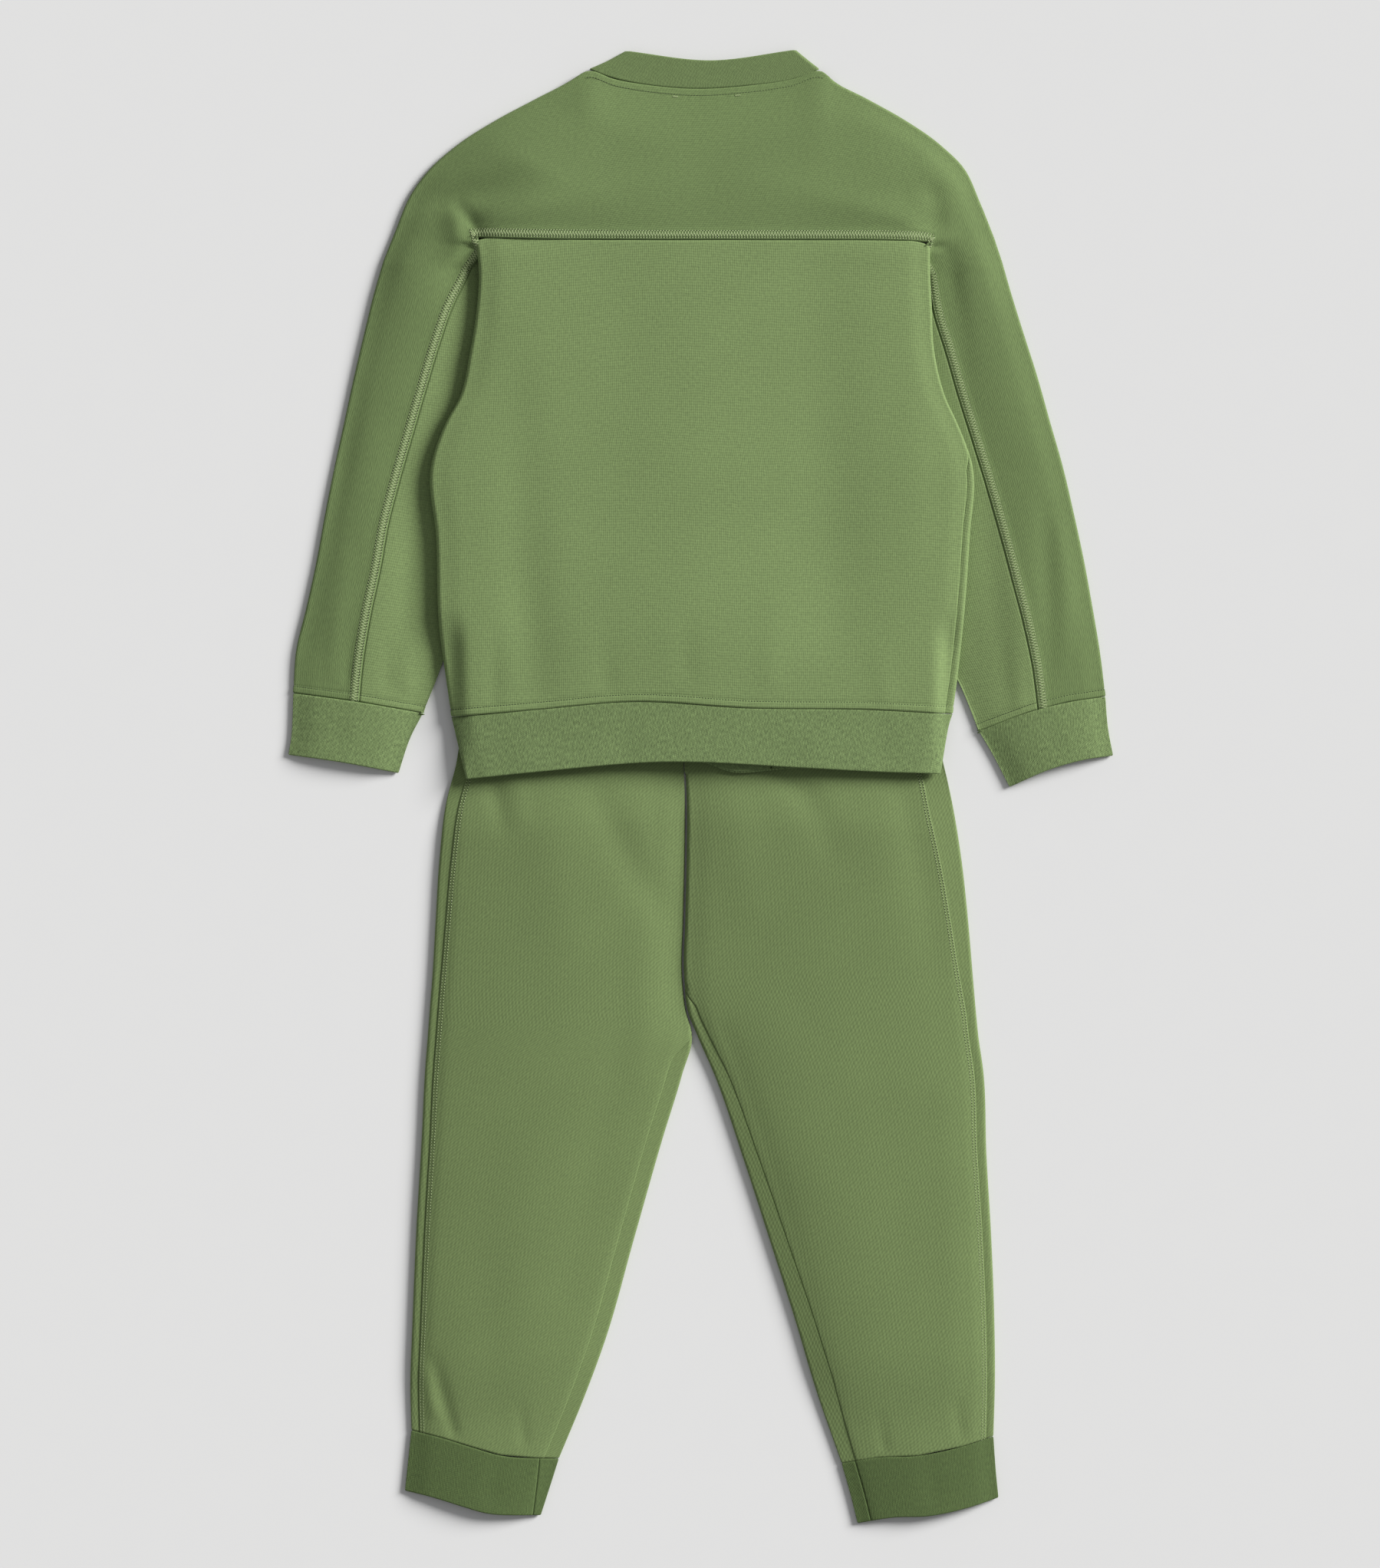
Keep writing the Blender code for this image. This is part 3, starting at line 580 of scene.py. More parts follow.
@dataclass(frozen=True)
class ThreadFinish:
    """Sewing thread, thread painted dark for shade, or the painted shade of a needle hole."""
    name: str
    colour: tuple[float, float, float]
    variation: float = 0.25
    roughness: float = 0.7

    def make(self) -> bpy.types.Material:
        """Build the material."""
        material = bpy.data.materials.new(self.name)
        nodes = Nodes(material)
        place = nodes.add("ShaderNodeTexCoord").outputs["Object"]
        ply = nodes.noise(place, 1400.0, 1.0)
        nodes.tint(self.colour, nodes.math("MULTIPLY", ply, self.variation))
        nodes.set(Roughness=self.roughness)
        return material


@dataclass(frozen=True)
class FloorFinish:
    """The plain pale surface that the set lies on."""
    colour: tuple[float, float, float] = (0.745, 0.745, 0.745)

    def make(self) -> bpy.types.Material:
        """Build the material."""
        material = bpy.data.materials.new("pale_floor")
        nodes = Nodes(material)
        place = nodes.add("ShaderNodeTexCoord").outputs["Object"]
        nodes.tint(self.colour, nodes.math("MULTIPLY", nodes.noise(place, 30.0), 0.01))
        nodes.set(Roughness=1.0, Specular_IOR_Level=0.0)
        return material


KNITS = {
    Cloth.YOKE: KnitFinish("knit_yoke", (0.143, 0.205, 0.077)),
    Cloth.BODY: KnitFinish("knit_body", (0.183, 0.256, 0.100), slant=0.0),
    Cloth.LEG: KnitFinish("knit_leg", (0.152, 0.211, 0.080), wale_pitch=3.1, course_pitch=3.1,
                          slant=1.0, wale_contrast=0.0, course_contrast=0.11, heather=0.42),
    Cloth.RIB: KnitFinish("knit_rib", (0.160, 0.226, 0.089), wale_pitch=1.3, course_pitch=1.6,
                          heather=1.35, wale_contrast=0.16, course_contrast=0.16, relief=0.16),
    Cloth.ANKLE_RIB: KnitFinish("knit_ankle_rib", (0.084, 0.126, 0.042), wale_pitch=1.3,
                                course_pitch=1.6, heather=0.7, wale_contrast=0.08,
                                course_contrast=0.08, relief=0.14),
    Cloth.COLLAR_RIB: KnitFinish("knit_collar_rib", (0.143, 0.202, 0.078), wale_pitch=1.3,
                                 course_pitch=1.6, heather=0.6, wale_contrast=0.07,
                                 course_contrast=0.07, relief=0.12),
}
YARNS = {
    "thread": ThreadFinish("thread", (0.36, 0.44, 0.22)),
    # painted shade: this thread is painted darker than the cloth for the shade that its sunk
    # stitches lie in
    "shaded_thread": ThreadFinish("painted_shade_thread", (0.105, 0.152, 0.056)),
    # painted shade: this near-black stands for the shade inside the needle holes between stitches
    "hole_shade": ThreadFinish("needle_hole_shade", (0.022, 0.034, 0.012), roughness=0.95),
}


@dataclass
class Line:
    """A path on a panel's face."""
    points: Array
    normals: Array

    def cut(self, length: float) -> "Line":
        """Return the path without its first stretch, so that stitches fall between others."""
        along = lengths(self.points)
        keep = np.concatenate([[length], along[along > length]])
        return Line(*(np.column_stack([np.interp(keep, along, part[:, k]) for k in range(3)])
                      for part in (self.points, self.normals)))

    def where(self, keep: Callable[[Array], Array]) -> "Line":
        """Return the stretch of the path where a test on its points is true."""
        chosen = keep(self.points)
        return Line(self.points[chosen], self.normals[chosen])


@dataclass
class Panel:
    """A cloth panel: rows and columns of points on its outer face."""
    name: str
    grid: Array
    cloth: Cloth
    wall: float = CLOTH_WALL
    flip: bool = False
    seams: dict[Side, Seam] = field(default_factory=dict)
    creases: Sequence[Crease] = ()
    under_creases: Sequence[Crease] = ()
    ground: Ground = no_lift
    settle: Settle = unchanged
    rests_on: tuple[str, ...] = ("floor",)
    normals: Array = field(init=False)

    def __post_init__(self) -> None:
        """Add the creases and the seams' relief to the panel's points."""
        self.crease()
        self.normals = self.outward()
        rise = np.zeros(self.grid.shape[:2])
        for side, seam in self.seams.items():
            rise += seam_rise(seam, self.inward(side))
        self.grid = self.grid + self.normals * rise[..., None]
        self.grid[..., 2] = np.maximum(self.grid[..., 2], 0.0)
        self.normals = self.outward()

    def crease(self) -> None:
        """Raise and lower the top by the creases, and the underside by its own."""
        x, y, z = (self.grid[..., k] for k in range(3))
        height = z - self.ground(x, y)
        top = smooth_step((height - ROLL) / ROLL)
        under = smooth_step(1.0 - height / ROLL)
        self.grid = self.grid.copy()
        self.grid[..., 2] += (self.settle(x, y, height) - height) * top
        for creases, share in ((self.creases, top), (self.under_creases, under)):
            for crease in creases:
                self.grid[..., 2] += crease.height(x, y) * share

    def outward(self) -> Array:
        """Return the unit normals of the outer face."""
        down = np.gradient(self.grid, axis=0)
        across = np.gradient(self.grid, axis=1)
        normal = np.cross(down, across)
        normal /= np.maximum(np.linalg.norm(normal, axis=2, keepdims=True), 1e-9)
        return -normal if self.flip else normal

    def inward(self, side: Side) -> Array:
        """Return each point's distance along the cloth from one side of the grid."""
        axis = 0 if side in (Side.FIRST_ROW, Side.LAST_ROW) else 1
        step = np.linalg.norm(np.diff(self.grid, axis=axis), axis=2)
        along = np.cumsum(step, axis=axis)
        start = np.zeros_like(np.take(along, [0], axis=axis))
        along = np.concatenate([start, along], axis=axis)
        if side in (Side.LAST_ROW, Side.LAST_COLUMN):
            return np.take(along, [-1], axis=axis) - along
        return along

    def line(self, side: Side, distance: float, lift: float = 0.0) -> Line:
        """Follow a side of the panel at a distance in from it.

        Args:
            side: The side.
            distance: How far in the line runs.
            lift: How far it stands off the cloth.

        Returns:
            The line.
        """
        inward = self.inward(side)
        grid, normals = self.grid, self.normals
        if side in (Side.FIRST_ROW, Side.LAST_ROW):
            inward = inward.T
            grid, normals = grid.transpose(1, 0, 2), normals.transpose(1, 0, 2)
        if side in (Side.LAST_ROW, Side.LAST_COLUMN):
            inward, grid, normals = inward[:, ::-1], grid[:, ::-1], normals[:, ::-1]
        points, facing = (
            np.array([[np.interp(distance, inward[i], part[i, :, k]) for k in range(3)]
                      for i in range(len(grid))])
            for part in (grid, normals))
        facing /= np.linalg.norm(facing, axis=1, keepdims=True)
        return Line(points + facing * lift, facing)

    def grain(self) -> Array:
        """Return the grain coordinates: across the wales and along them, in millimetres."""
        columns = self.inward(Side.FIRST_COLUMN)
        rows = self.inward(Side.FIRST_ROW)
        middle_row, middle_column = (n // 2 for n in self.grid.shape[:2])
        across = columns - columns[:, middle_column][:, None]
        along = rows - rows[middle_row][None, :]
        return np.stack([across, along], axis=2)

    def build(self, finishes: dict[Cloth, bpy.types.Material]) -> bpy.types.Object:
        """Make the panel's object, with its thickness applied.

        Args:
            finishes: The material of each cloth.

        Returns:
            The object, which stands for the node of its name.
        """
        rows, columns = self.grid.shape[:2]
        index = np.arange(rows * columns).reshape(rows, columns)
        corners = [index[:-1, :-1], index[1:, :-1], index[1:, 1:], index[:-1, 1:]]
        faces = np.stack(corners[::-1] if self.flip else corners, axis=2).reshape(-1, 4)
        mesh = bpy.data.meshes.new(self.name)
        mesh.from_pydata((self.grid.reshape(-1, 3) * MM).tolist(), [], faces.tolist())
        layer = mesh.uv_layers.new(name="grain")
        layer.data.foreach_set("uv", self.grain().reshape(-1, 2)[faces.reshape(-1)].ravel())
        mesh.materials.append(finishes[self.cloth])
        piece = place_object(f"cloth_{self.name}", mesh)
        solidify = piece.modifiers.new("cloth thickness", "SOLIDIFY")
        solidify.thickness = self.wall * MM
        solidify.offset = -1.0
        apply_modifiers(piece)
        piece.data.shade_smooth()
        piece.data.set_sharp_from_angle(angle=SHARP_ANGLE)
        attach(piece, "root")
        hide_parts(self.name)
        return piece

    def declare(self, piece: bpy.types.Object, threads: Sequence[bpy.types.Object]) -> None:
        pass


def place_object(name: str, data: bpy.types.ID) -> bpy.types.Object:
    """Put a mesh, light or camera in the scene as an object."""
    made = bpy.data.objects.new(name, data)
    bpy.context.scene.collection.objects.link(made)
    return made


def apply_modifiers(piece: bpy.types.Object) -> None:
    """Turn an object and its modifiers into a plain mesh."""
    graph = bpy.context.evaluated_depsgraph_get()
    mesh = bpy.data.meshes.new_from_object(piece.evaluated_get(graph))
    piece.modifiers.clear()
    piece.data = mesh


@dataclass(frozen=True)
class StitchForm:
    """One kind of stitch. Sizes are in millimetres and the turn in degrees."""
    pitch: float
    length: float
    width: float
    height: float
    turn: float = 0.0
    jitter: float = 3.0


# How far threads stand off the cloth
ON_CLOTH = 0.1
IN_GROOVE = 0.05
SUNK = 0.02

NEEDLE_STITCH = StitchForm(STITCH_PITCH, 1.75, 0.62, 0.5)
# A bead of painted shade for each needle hole between stitches
HOLE_SHADE = StitchForm(STITCH_PITCH, 1.15, 0.95, 0.34)
COVER_STITCH = StitchForm(1.2, 6.4, 0.66, 0.46, 66.0, 5.0)
TACK = StitchForm(0.5, 1.7, 0.45, 0.6, 70.0)


class StitchTree(NodeCalls):
    """A geometry node tree that lays stitches along a path."""

    SIZES = ("Pitch", "Stitch Length", "Stitch Width", "Stitch Height", "Turn", "Jitter")
    SEED = 7
    BEAD = {"Segments": 6, "Rings": 4, "Radius": 0.5}
    LENGTH_RANGE = (0.9, 1.1)

    def __init__(self) -> None:
        """Build the tree."""
        self.tree = bpy.data.node_groups.new("stitches_on_a_path", "GeometryNodeTree")
        interface = self.tree.interface
        interface.new_socket(name="Geometry", in_out="INPUT", socket_type="NodeSocketGeometry")
        self.inputs = {
            name: interface.new_socket(name=name, in_out="INPUT",
                                       socket_type="NodeSocketFloat").identifier
            for name in self.SIZES}
        self.inputs["Thread"] = interface.new_socket(
            name="Thread", in_out="INPUT", socket_type="NodeSocketMaterial").identifier
        interface.new_socket(name="Geometry", in_out="OUTPUT", socket_type="NodeSocketGeometry")
        self.source = self.add("NodeGroupInput")
        self.link_up()

    def random(self, low: float, high: float, seed: int) -> bpy.types.NodeSocket:
        """Return a random number for each stitch."""
        return self.add("FunctionNodeRandomValue", {2: low, 3: high, "Seed": seed},
                        data_type="FLOAT").outputs[1]

    def stitch_turn(self) -> bpy.types.NodeSocket:
        """Return each stitch's turn, to alternate sides, with a little unevenness."""
        index = self.add("GeometryNodeInputIndex").outputs[0]
        other = self.math("SUBTRACT", 1.0, self.math("MULTIPLY", 2.0,
                                                     self.math("MODULO", index, 2.0)))
        turn = self.math("MULTIPLY", self.source.outputs["Turn"], other)
        uneven = self.math("MULTIPLY", self.source.outputs["Jitter"],
                           self.random(-1.0, 1.0, self.SEED))
        degrees = self.math("ADD", turn, uneven)
        return self.math("MULTIPLY", degrees, math.pi / 180.0)

    def stitch_rotation(self) -> bpy.types.NodeSocket:
        """Return each stitch's rotation: along the path, facing off the cloth, then turned."""
        tangent = self.add("GeometryNodeInputTangent").outputs[0]
        facing = self.add("GeometryNodeInputNamedAttribute", {"Name": "facing"},
                          data_type="FLOAT_VECTOR").outputs["Attribute"]
        along = self.add("FunctionNodeAlignRotationToVector", {"Vector": tangent}, axis="X")
        upright = self.add("FunctionNodeAlignRotationToVector",
                           {"Rotation": along.outputs[0], "Vector": facing},
                           axis="Z", pivot_axis="X")
        turn = self.add("FunctionNodeAxisAngleToRotation",
                        {"Axis": (0.0, 0.0, 1.0), "Angle": self.stitch_turn()})
        return self.add("FunctionNodeRotateRotation",
                        {"Rotation": upright.outputs[0], "Rotate By": turn.outputs[0]},
                        rotation_space="LOCAL").outputs[0]

    def link_up(self) -> None:
        """Add the tree's nodes, from the path to plain, coloured meshes."""
        given = self.source.outputs
        path = self.add("GeometryNodeMeshToCurve", {"Mesh": given["Geometry"]})
        spaced = self.add("GeometryNodeResampleCurve",
                          {"Curve": path.outputs[0], "Length": given["Pitch"]}, mode="LENGTH")
        bead = self.add("GeometryNodeMeshUVSphere", self.BEAD)
        smooth = self.add("GeometryNodeSetShadeSmooth", {"Geometry": bead.outputs["Mesh"]})
        longer = self.math("MULTIPLY", given["Stitch Length"],
                           self.random(*self.LENGTH_RANGE, self.SEED + 1))
        size = self.add("ShaderNodeCombineXYZ",
                        {0: longer, 1: given["Stitch Width"], 2: given["Stitch Height"]})
        place = self.add("GeometryNodeInstanceOnPoints", {
            "Points": spaced.outputs[0], "Instance": smooth.outputs[0],
            "Rotation": self.stitch_rotation(), "Scale": size.outputs[0]})
        real = self.add("GeometryNodeRealizeInstances", {0: place.outputs[0]})
        coloured = self.add("GeometryNodeSetMaterial",
                            {"Geometry": real.outputs[0], "Material": given["Thread"]})
        self.add("NodeGroupOutput", {"Geometry": coloured.outputs[0]})

    def topstitch(self, name: str, lines: Sequence[Line], yarns: dict[str, bpy.types.Material],
                  slot: Slot) -> list[bpy.types.Object]:
        """Sew rows in thread painted dark for shade, with painted shade for each needle hole."""
        hole_shades = [line.cut(STITCH_PITCH / 2) for line in lines]
        return [self.sew(name, lines, NEEDLE_STITCH, yarns["shaded_thread"], slot),
                self.sew(f"{name}_holes", hole_shades, HOLE_SHADE, yarns["hole_shade"], slot)]

    def sew(self, name: str, lines: Sequence[Line], form: StitchForm,
            thread: bpy.types.Material, slot: Slot) -> bpy.types.Object:
        """Lay one kind of stitch along paths.

        Args:
            name: The piece's name.
            lines: The paths.
            form: The kind of stitch.
            thread: Its material.
            slot: The record's slot of the cloth that carries it. It is not used.

        Returns:
            The stitches as one plain mesh.
        """
        points, edges, facing = [], [], []
        for line in lines:
            first = len(points)
            points.extend((line.points * MM).tolist())
            facing.extend(line.normals.tolist())
            edges.extend((k, k + 1) for k in range(first, len(points) - 1))
        mesh = bpy.data.meshes.new(name)
        mesh.from_pydata(points, edges, [])
        attribute = mesh.attributes.new("facing", "FLOAT_VECTOR", "POINT")
        attribute.data.foreach_set("vector", np.array(facing).ravel())
        piece = place_object(name, mesh)
        modifier = piece.modifiers.new("stitches", "NODES")
        modifier.node_group = self.tree
        sizes = (form.pitch * MM, form.length * MM, form.width * MM, form.height * MM,
                 form.turn, form.jitter)
        for size_name, value in zip(self.SIZES, sizes):
            modifier[self.inputs[size_name]] = value
        modifier[self.inputs["Thread"]] = thread
        apply_modifiers(piece)
        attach(piece, "root")
        LOG.info("%s: %d faces", name, len(piece.data.polygons))
        return piece


def creases(*lines: tuple[tuple[float, float, float, float], ...]) -> tuple[Crease, ...]:
    """Return creases from their lines of (x, y, half width, height) points."""
    return tuple(Crease(tuple((x, y, half, height * CREASE_DEPTH) for x, y, half, height in line))
                 for line in lines)


BODY_CREASES = creases(
    ((-152, 340, 20, -0.7), (-149, 208, 22, -2.4), (-144, 144, 20, -3), (-137, 84, 18, -1.6)),
    ((-24, 440, 60, 0.6), (-14, 300, 64, 2.2), (-4, 120, 60, 2.2)),
    ((104, 440, 34, -0.6), (108, 300, 36, -2.4), (112, 140, 34, -3)),
    ((176, 400, 16, 0.4), (181, 300, 18, 1.1), (178, 200, 16, 0.6)),
    ((-171, 128, 9, -0.4), (-171.5, 86, 7, -1), (-173, 72, 6, -0.7)),
    ((-80, 130, 12, -0.3), (-78, 88, 10, -0.9)),
    ((-12, 135, 11, -0.3), (-11, 98, 9, -0.8)),
    ((62, 150, 12, 0.3), (58, 92, 10, 0.6)),
    ((-190, 420, 14, -0.4), (-180, 380, 16, -0.8), (-186, 330, 15, -0.2)),
    ((150, 110, 10, 0.3), (154, 76, 8, 0.7)),
)
YOKE_CREASES = creases(
    ((-236, 484, 8, -0.9), (-215, 489, 9, -2.1), (-184, 496, 10, -1.9), (-150, 505, 12, -0.6)),
    ((-222, 508, 10, 0.6), (-190, 515, 11, 1.4), (-150, 524, 13, 0.7)),
    ((-206, 474, 8, 1.3), (-188, 481, 8, 1), (-165, 484, 9, 0.4)),
    ((-201, 484, 6, -1.6), (-190, 470, 5.5, -2.2), (-185, 463, 4, -1.2)),
    ((-92, 592, 10, -0.8), (-130, 565, 14, -1.4), (-180, 535, 14, -1.4), (-226, 495, 14, -1.3),
     (-255, 450, 13, -1.2)),
    ((160, 512, 11, 0.6), (186, 519, 12, 1.5), (203, 503, 10, 1.3), (208, 486, 9, 0.4)),
    ((194, 494, 9, -1.4), (205, 465, 9, -2.2), (209, 430, 9, -2), (217, 388, 9, -1.2),
     (223, 346, 8, -0.4)),
    ((170, 490, 9, -0.8), (150, 480, 9, -0.3)),
    ((286, 232, 8, -0.5), (289, 180, 8, -1.3), (292, 96, 7, -0.5)),
    ((300, 215, 7, 0.5), (304, 160, 7, 0.8), (306, 110, 6, 0.3)),
    ((-285, 330, 8, -0.3), (-297, 270, 9, -0.9), (-306, 200, 8, -0.3)),
    ((-258, 425, 12, -0.6), (-280, 340, 12, -1), (-306, 220, 12, -1.1), (-325, 120, 12, -1)),
    ((-296, 190, 8, 0.5), (-303, 140, 8, 0.9), (-309, 100, 6, 0.4)),
    ((-290, 128, 6, -0.3), (-295, 92, 5, -0.9)),
    ((0, 560, 30, -0.3), (10, 510, 34, -0.6), (6, 470, 30, -0.2)),
    ((-112, 562, 46, 3), (-142, 518, 54, 7.6), (-152, 480, 46, 4.4)),
    ((150, 545, 40, 0.8), (160, 505, 44, 2), (162, 480, 40, 1)),
)
SLEEVE_CREASES = creases(
    ((-228, 250, 9, -0.5), (-240, 190, 10, -1.1), (-252, 110, 8, -0.5)),
    ((-246, 120, 7, 0.4), (-244, 84, 6, 1)),
    ((-262, 130, 6, -0.3), (-262, 86, 5, -0.9)),
    ((238, 240, 9, -0.4), (246, 160, 10, -1), (256, 80, 8, -0.6)),
    ((262, 120, 6, 0.3), (266, 70, 6, 0.9)),
)
LEG_CREASES = creases(
    ((-86, -10, 14, -1.5), (-70, -40, 15, -2.2), (-50, -76, 15, -2), (-32, -104, 14, -0.9)),
    ((-128, 0, 20, 0.6), (-122, -50, 26, 1.3), (-112, -120, 24, 0.7)),
    ((-170, 14, 6, -1.6), (-171, -6, 8, -2.2), (-165, -34, 7, -0.7)),
    ((-152, 8, 8, 0.8), (-150, -24, 9, 0.8)),
    ((-34, 10, 12, -0.8), (-30, -90, 12, -1.3), (-27, -200, 10, -1)),
    ((-46, -120, 14, 0.5), (-48, -180, 16, 0.9), (-50, -240, 14, 0.5)),
    ((-60, -190, 16, -0.3), (-86, -300, 18, -0.9), (-110, -420, 18, -0.5)),
    ((-180, -300, 22, -0.4), (-178, -430, 24, -1), (-170, -520, 20, -0.7)),
    ((-223, -478, 6, -0.8), (-216, -505, 7, -2), (-206, -537, 5, -1.5)),
    ((-228, -490, 6, 0.7), (-222, -520, 6, 1.1)),
    ((-150, -520, 6, -0.5), (-147, -545, 5, -1.1)),
    ((66, 14, 12, -2), (86, -4, 13, -2.3), (104, -34, 14, -1.4), (110, -60, 12, -0.4)),
    ((24, 4, 18, 0.5), (30, -40, 20, 1.4), (40, -96, 20, 0.8)),
    ((140, 10, 18, 0.6), (150, -40, 20, 0.9), (160, -120, 20, 0.3)),
    ((170, -10, 10, -0.9), (186, -80, 12, -1), (196, -160, 12, -0.3)),
    ((20, -205, 9, -0.6), (43, -275, 11, -1.2), (81, -400, 12, -1.1), (112, -520, 9, -0.9)),
    ((60, -200, 24, 0.5), (96, -320, 26, 0.8), (120, -400, 24, 0.3)),
    ((150, -240, 26, -0.5), (166, -380, 28, -0.9), (170, -500, 24, -0.6)),
    ((206, -260, 14, 0.6), (212, -400, 14, 0.8), (210, -500, 12, 0.4)),
    ((150, -528, 6, -0.4), (153, -550, 5, -1)),
    ((214, -515, 6, -0.5), (217, -538, 5, -1)),
)
BAND_CREASES = creases(
    ((70, 52, 16, 0.5), (96, 34, 18, 0.9), (92, 12, 14, 0.5)),
    ((-60, 60, 12, -0.3), (-64, 36, 14, -0.8), (-60, 12, 12, -0.5)),
    ((150, 50, 10, -0.4), (154, 28, 12, -0.7)),
    ((-150, 50, 12, 0.3), (-146, 24, 14, 0.6)),
    ((-300, 66, 8, -0.3), (-302, 40, 9, -0.7)),
    ((290, 56, 8, -0.3), (298, 30, 9, -0.6)),
    ((-170, -566, 8, -0.4), (-174, -590, 9, -0.8)),
    ((190, -562, 9, -0.4), (194, -590, 10, -0.7)),
)
UNDER_CREASES = creases(
    ((-90, 380, 12, 0.3), (-84, 300, 14, 1.1), (-96, 200, 12, 0.4)),
    ((70, 330, 12, 0.4), (84, 240, 13, 1), (80, 150, 12, 0.4)),
    ((-30, 240, 10, 0.3), (-24, 170, 12, 0.8), (-30, 110, 10, 0.3)),
    ((-140, -60, 12, 0.4), (-132, -160, 14, 1.1), (-150, -260, 12, 0.4)),
    ((-180, -330, 12, 0.4), (-176, -430, 12, 0.9), (-186, -510, 9, 0.5)),
    ((110, -40, 12, 0.4), (118, -150, 13, 1), (132, -250, 12, 0.4)),
    ((170, -330, 11, 0.4), (176, -420, 12, 1), (184, -500, 9, 0.4)),
    ((-262, 300, 9, 0.3), (-276, 220, 10, 0.8), (-290, 140, 8, 0.3)),
    ((240, 300, 9, 0.3), (258, 210, 10, 0.9), (280, 120, 8, 0.3)),
    ((0, 545, 14, 0.3), (-20, 510, 16, 0.8), (-60, 480, 12, 0.3)),
)


def band(name: str, rows: Rows, bows: tuple[Bow, Bow],
         under_bows: tuple[Bow, Bow], seam_place: float, ground: Ground = no_lift,
         settle: Settle = unchanged,
         wall: float = BAND_WALL, cloth: Cloth = Cloth.RIB, free_first: bool = False,
         rests_on: tuple[str, ...] = ("floor",)) -> Panel:
    """Make a band: one strip of rib, sewn into a ring and to its panel.

    Args:
        name: The node that it stands for.
        rows: Its sections, as (left x, left y, right x, right y).
        bows: The bows of its first and last row on the top.
        under_bows: The bows on the underside.
        seam_place: Where its own short seam lies, along the ring.
        ground: The height of what it lies on.
        settle: How its top is pressed.
        wall: Its thickness.
        cloth: Its cloth.
        free_first: Whether the first row is the folded edge, and the last row is sewn.
        rests_on: What it lies on.

    Returns:
        The panel.
    """
    sewn = FINE[:8]
    ends = (FOLD_FINE, sewn) if free_first else (sewn, FOLD_FINE)
    spans = Loft(rows).spaced(*ends, step=BAND_ROW_STEP)
    shares = row_shares(spans)
    tops, unders = blend_bows(*bows, shares), blend_bows(*under_bows, shares)
    count = None
    laid = []
    for span, top, under in zip(spans, tops, unders):
        ring = Ring(span[:2], span[2:4], bows=(top, under), ground=ground)
        low, high = seam_place, seam_place + ring.total - SEAM_GAP
        wanted = np.concatenate([
            low + sewn, high - sewn, EDGE_PLACES, ring.top + EDGE_PLACES,
            EDGE_PLACES + ring.total, ring.top + EDGE_PLACES + ring.total])
        wanted = wanted[(wanted >= low) & (wanted <= high)]
        count = count or max(BAND_COLUMNS, round(ring.total / COLUMN_STEP))
        even = low + (high - low) * np.linspace(0.0, 1.0, count)
        near = np.array([np.abs(wanted - place).min() for place in even])
        laid.append((ring, wanted, even, near > COLUMN_STEP * NEAR_SHARE))
    keep = laid[len(laid) // 2][3]
    rings = [ring.at(np.sort(np.concatenate([wanted, even[keep]])))
             for ring, wanted, even, _ in laid]
    seams = {Side.FIRST_COLUMN: Seam.PLAIN, Side.LAST_COLUMN: Seam.PLAIN,
             Side.FIRST_ROW: Seam.FOLDED if free_first else Seam.PLAIN,
             Side.LAST_ROW: Seam.PLAIN if free_first else Seam.FOLDED}
    return Panel(name, np.array(rings), cloth, wall, seams=seams,
                 creases=BAND_CREASES, ground=ground, settle=settle, rests_on=rests_on)


def mirrored(bow: Bow) -> Bow:
    """Return a bow table measured from the other end."""
    return [(1.0 - share, value) for share, value in bow[::-1]]


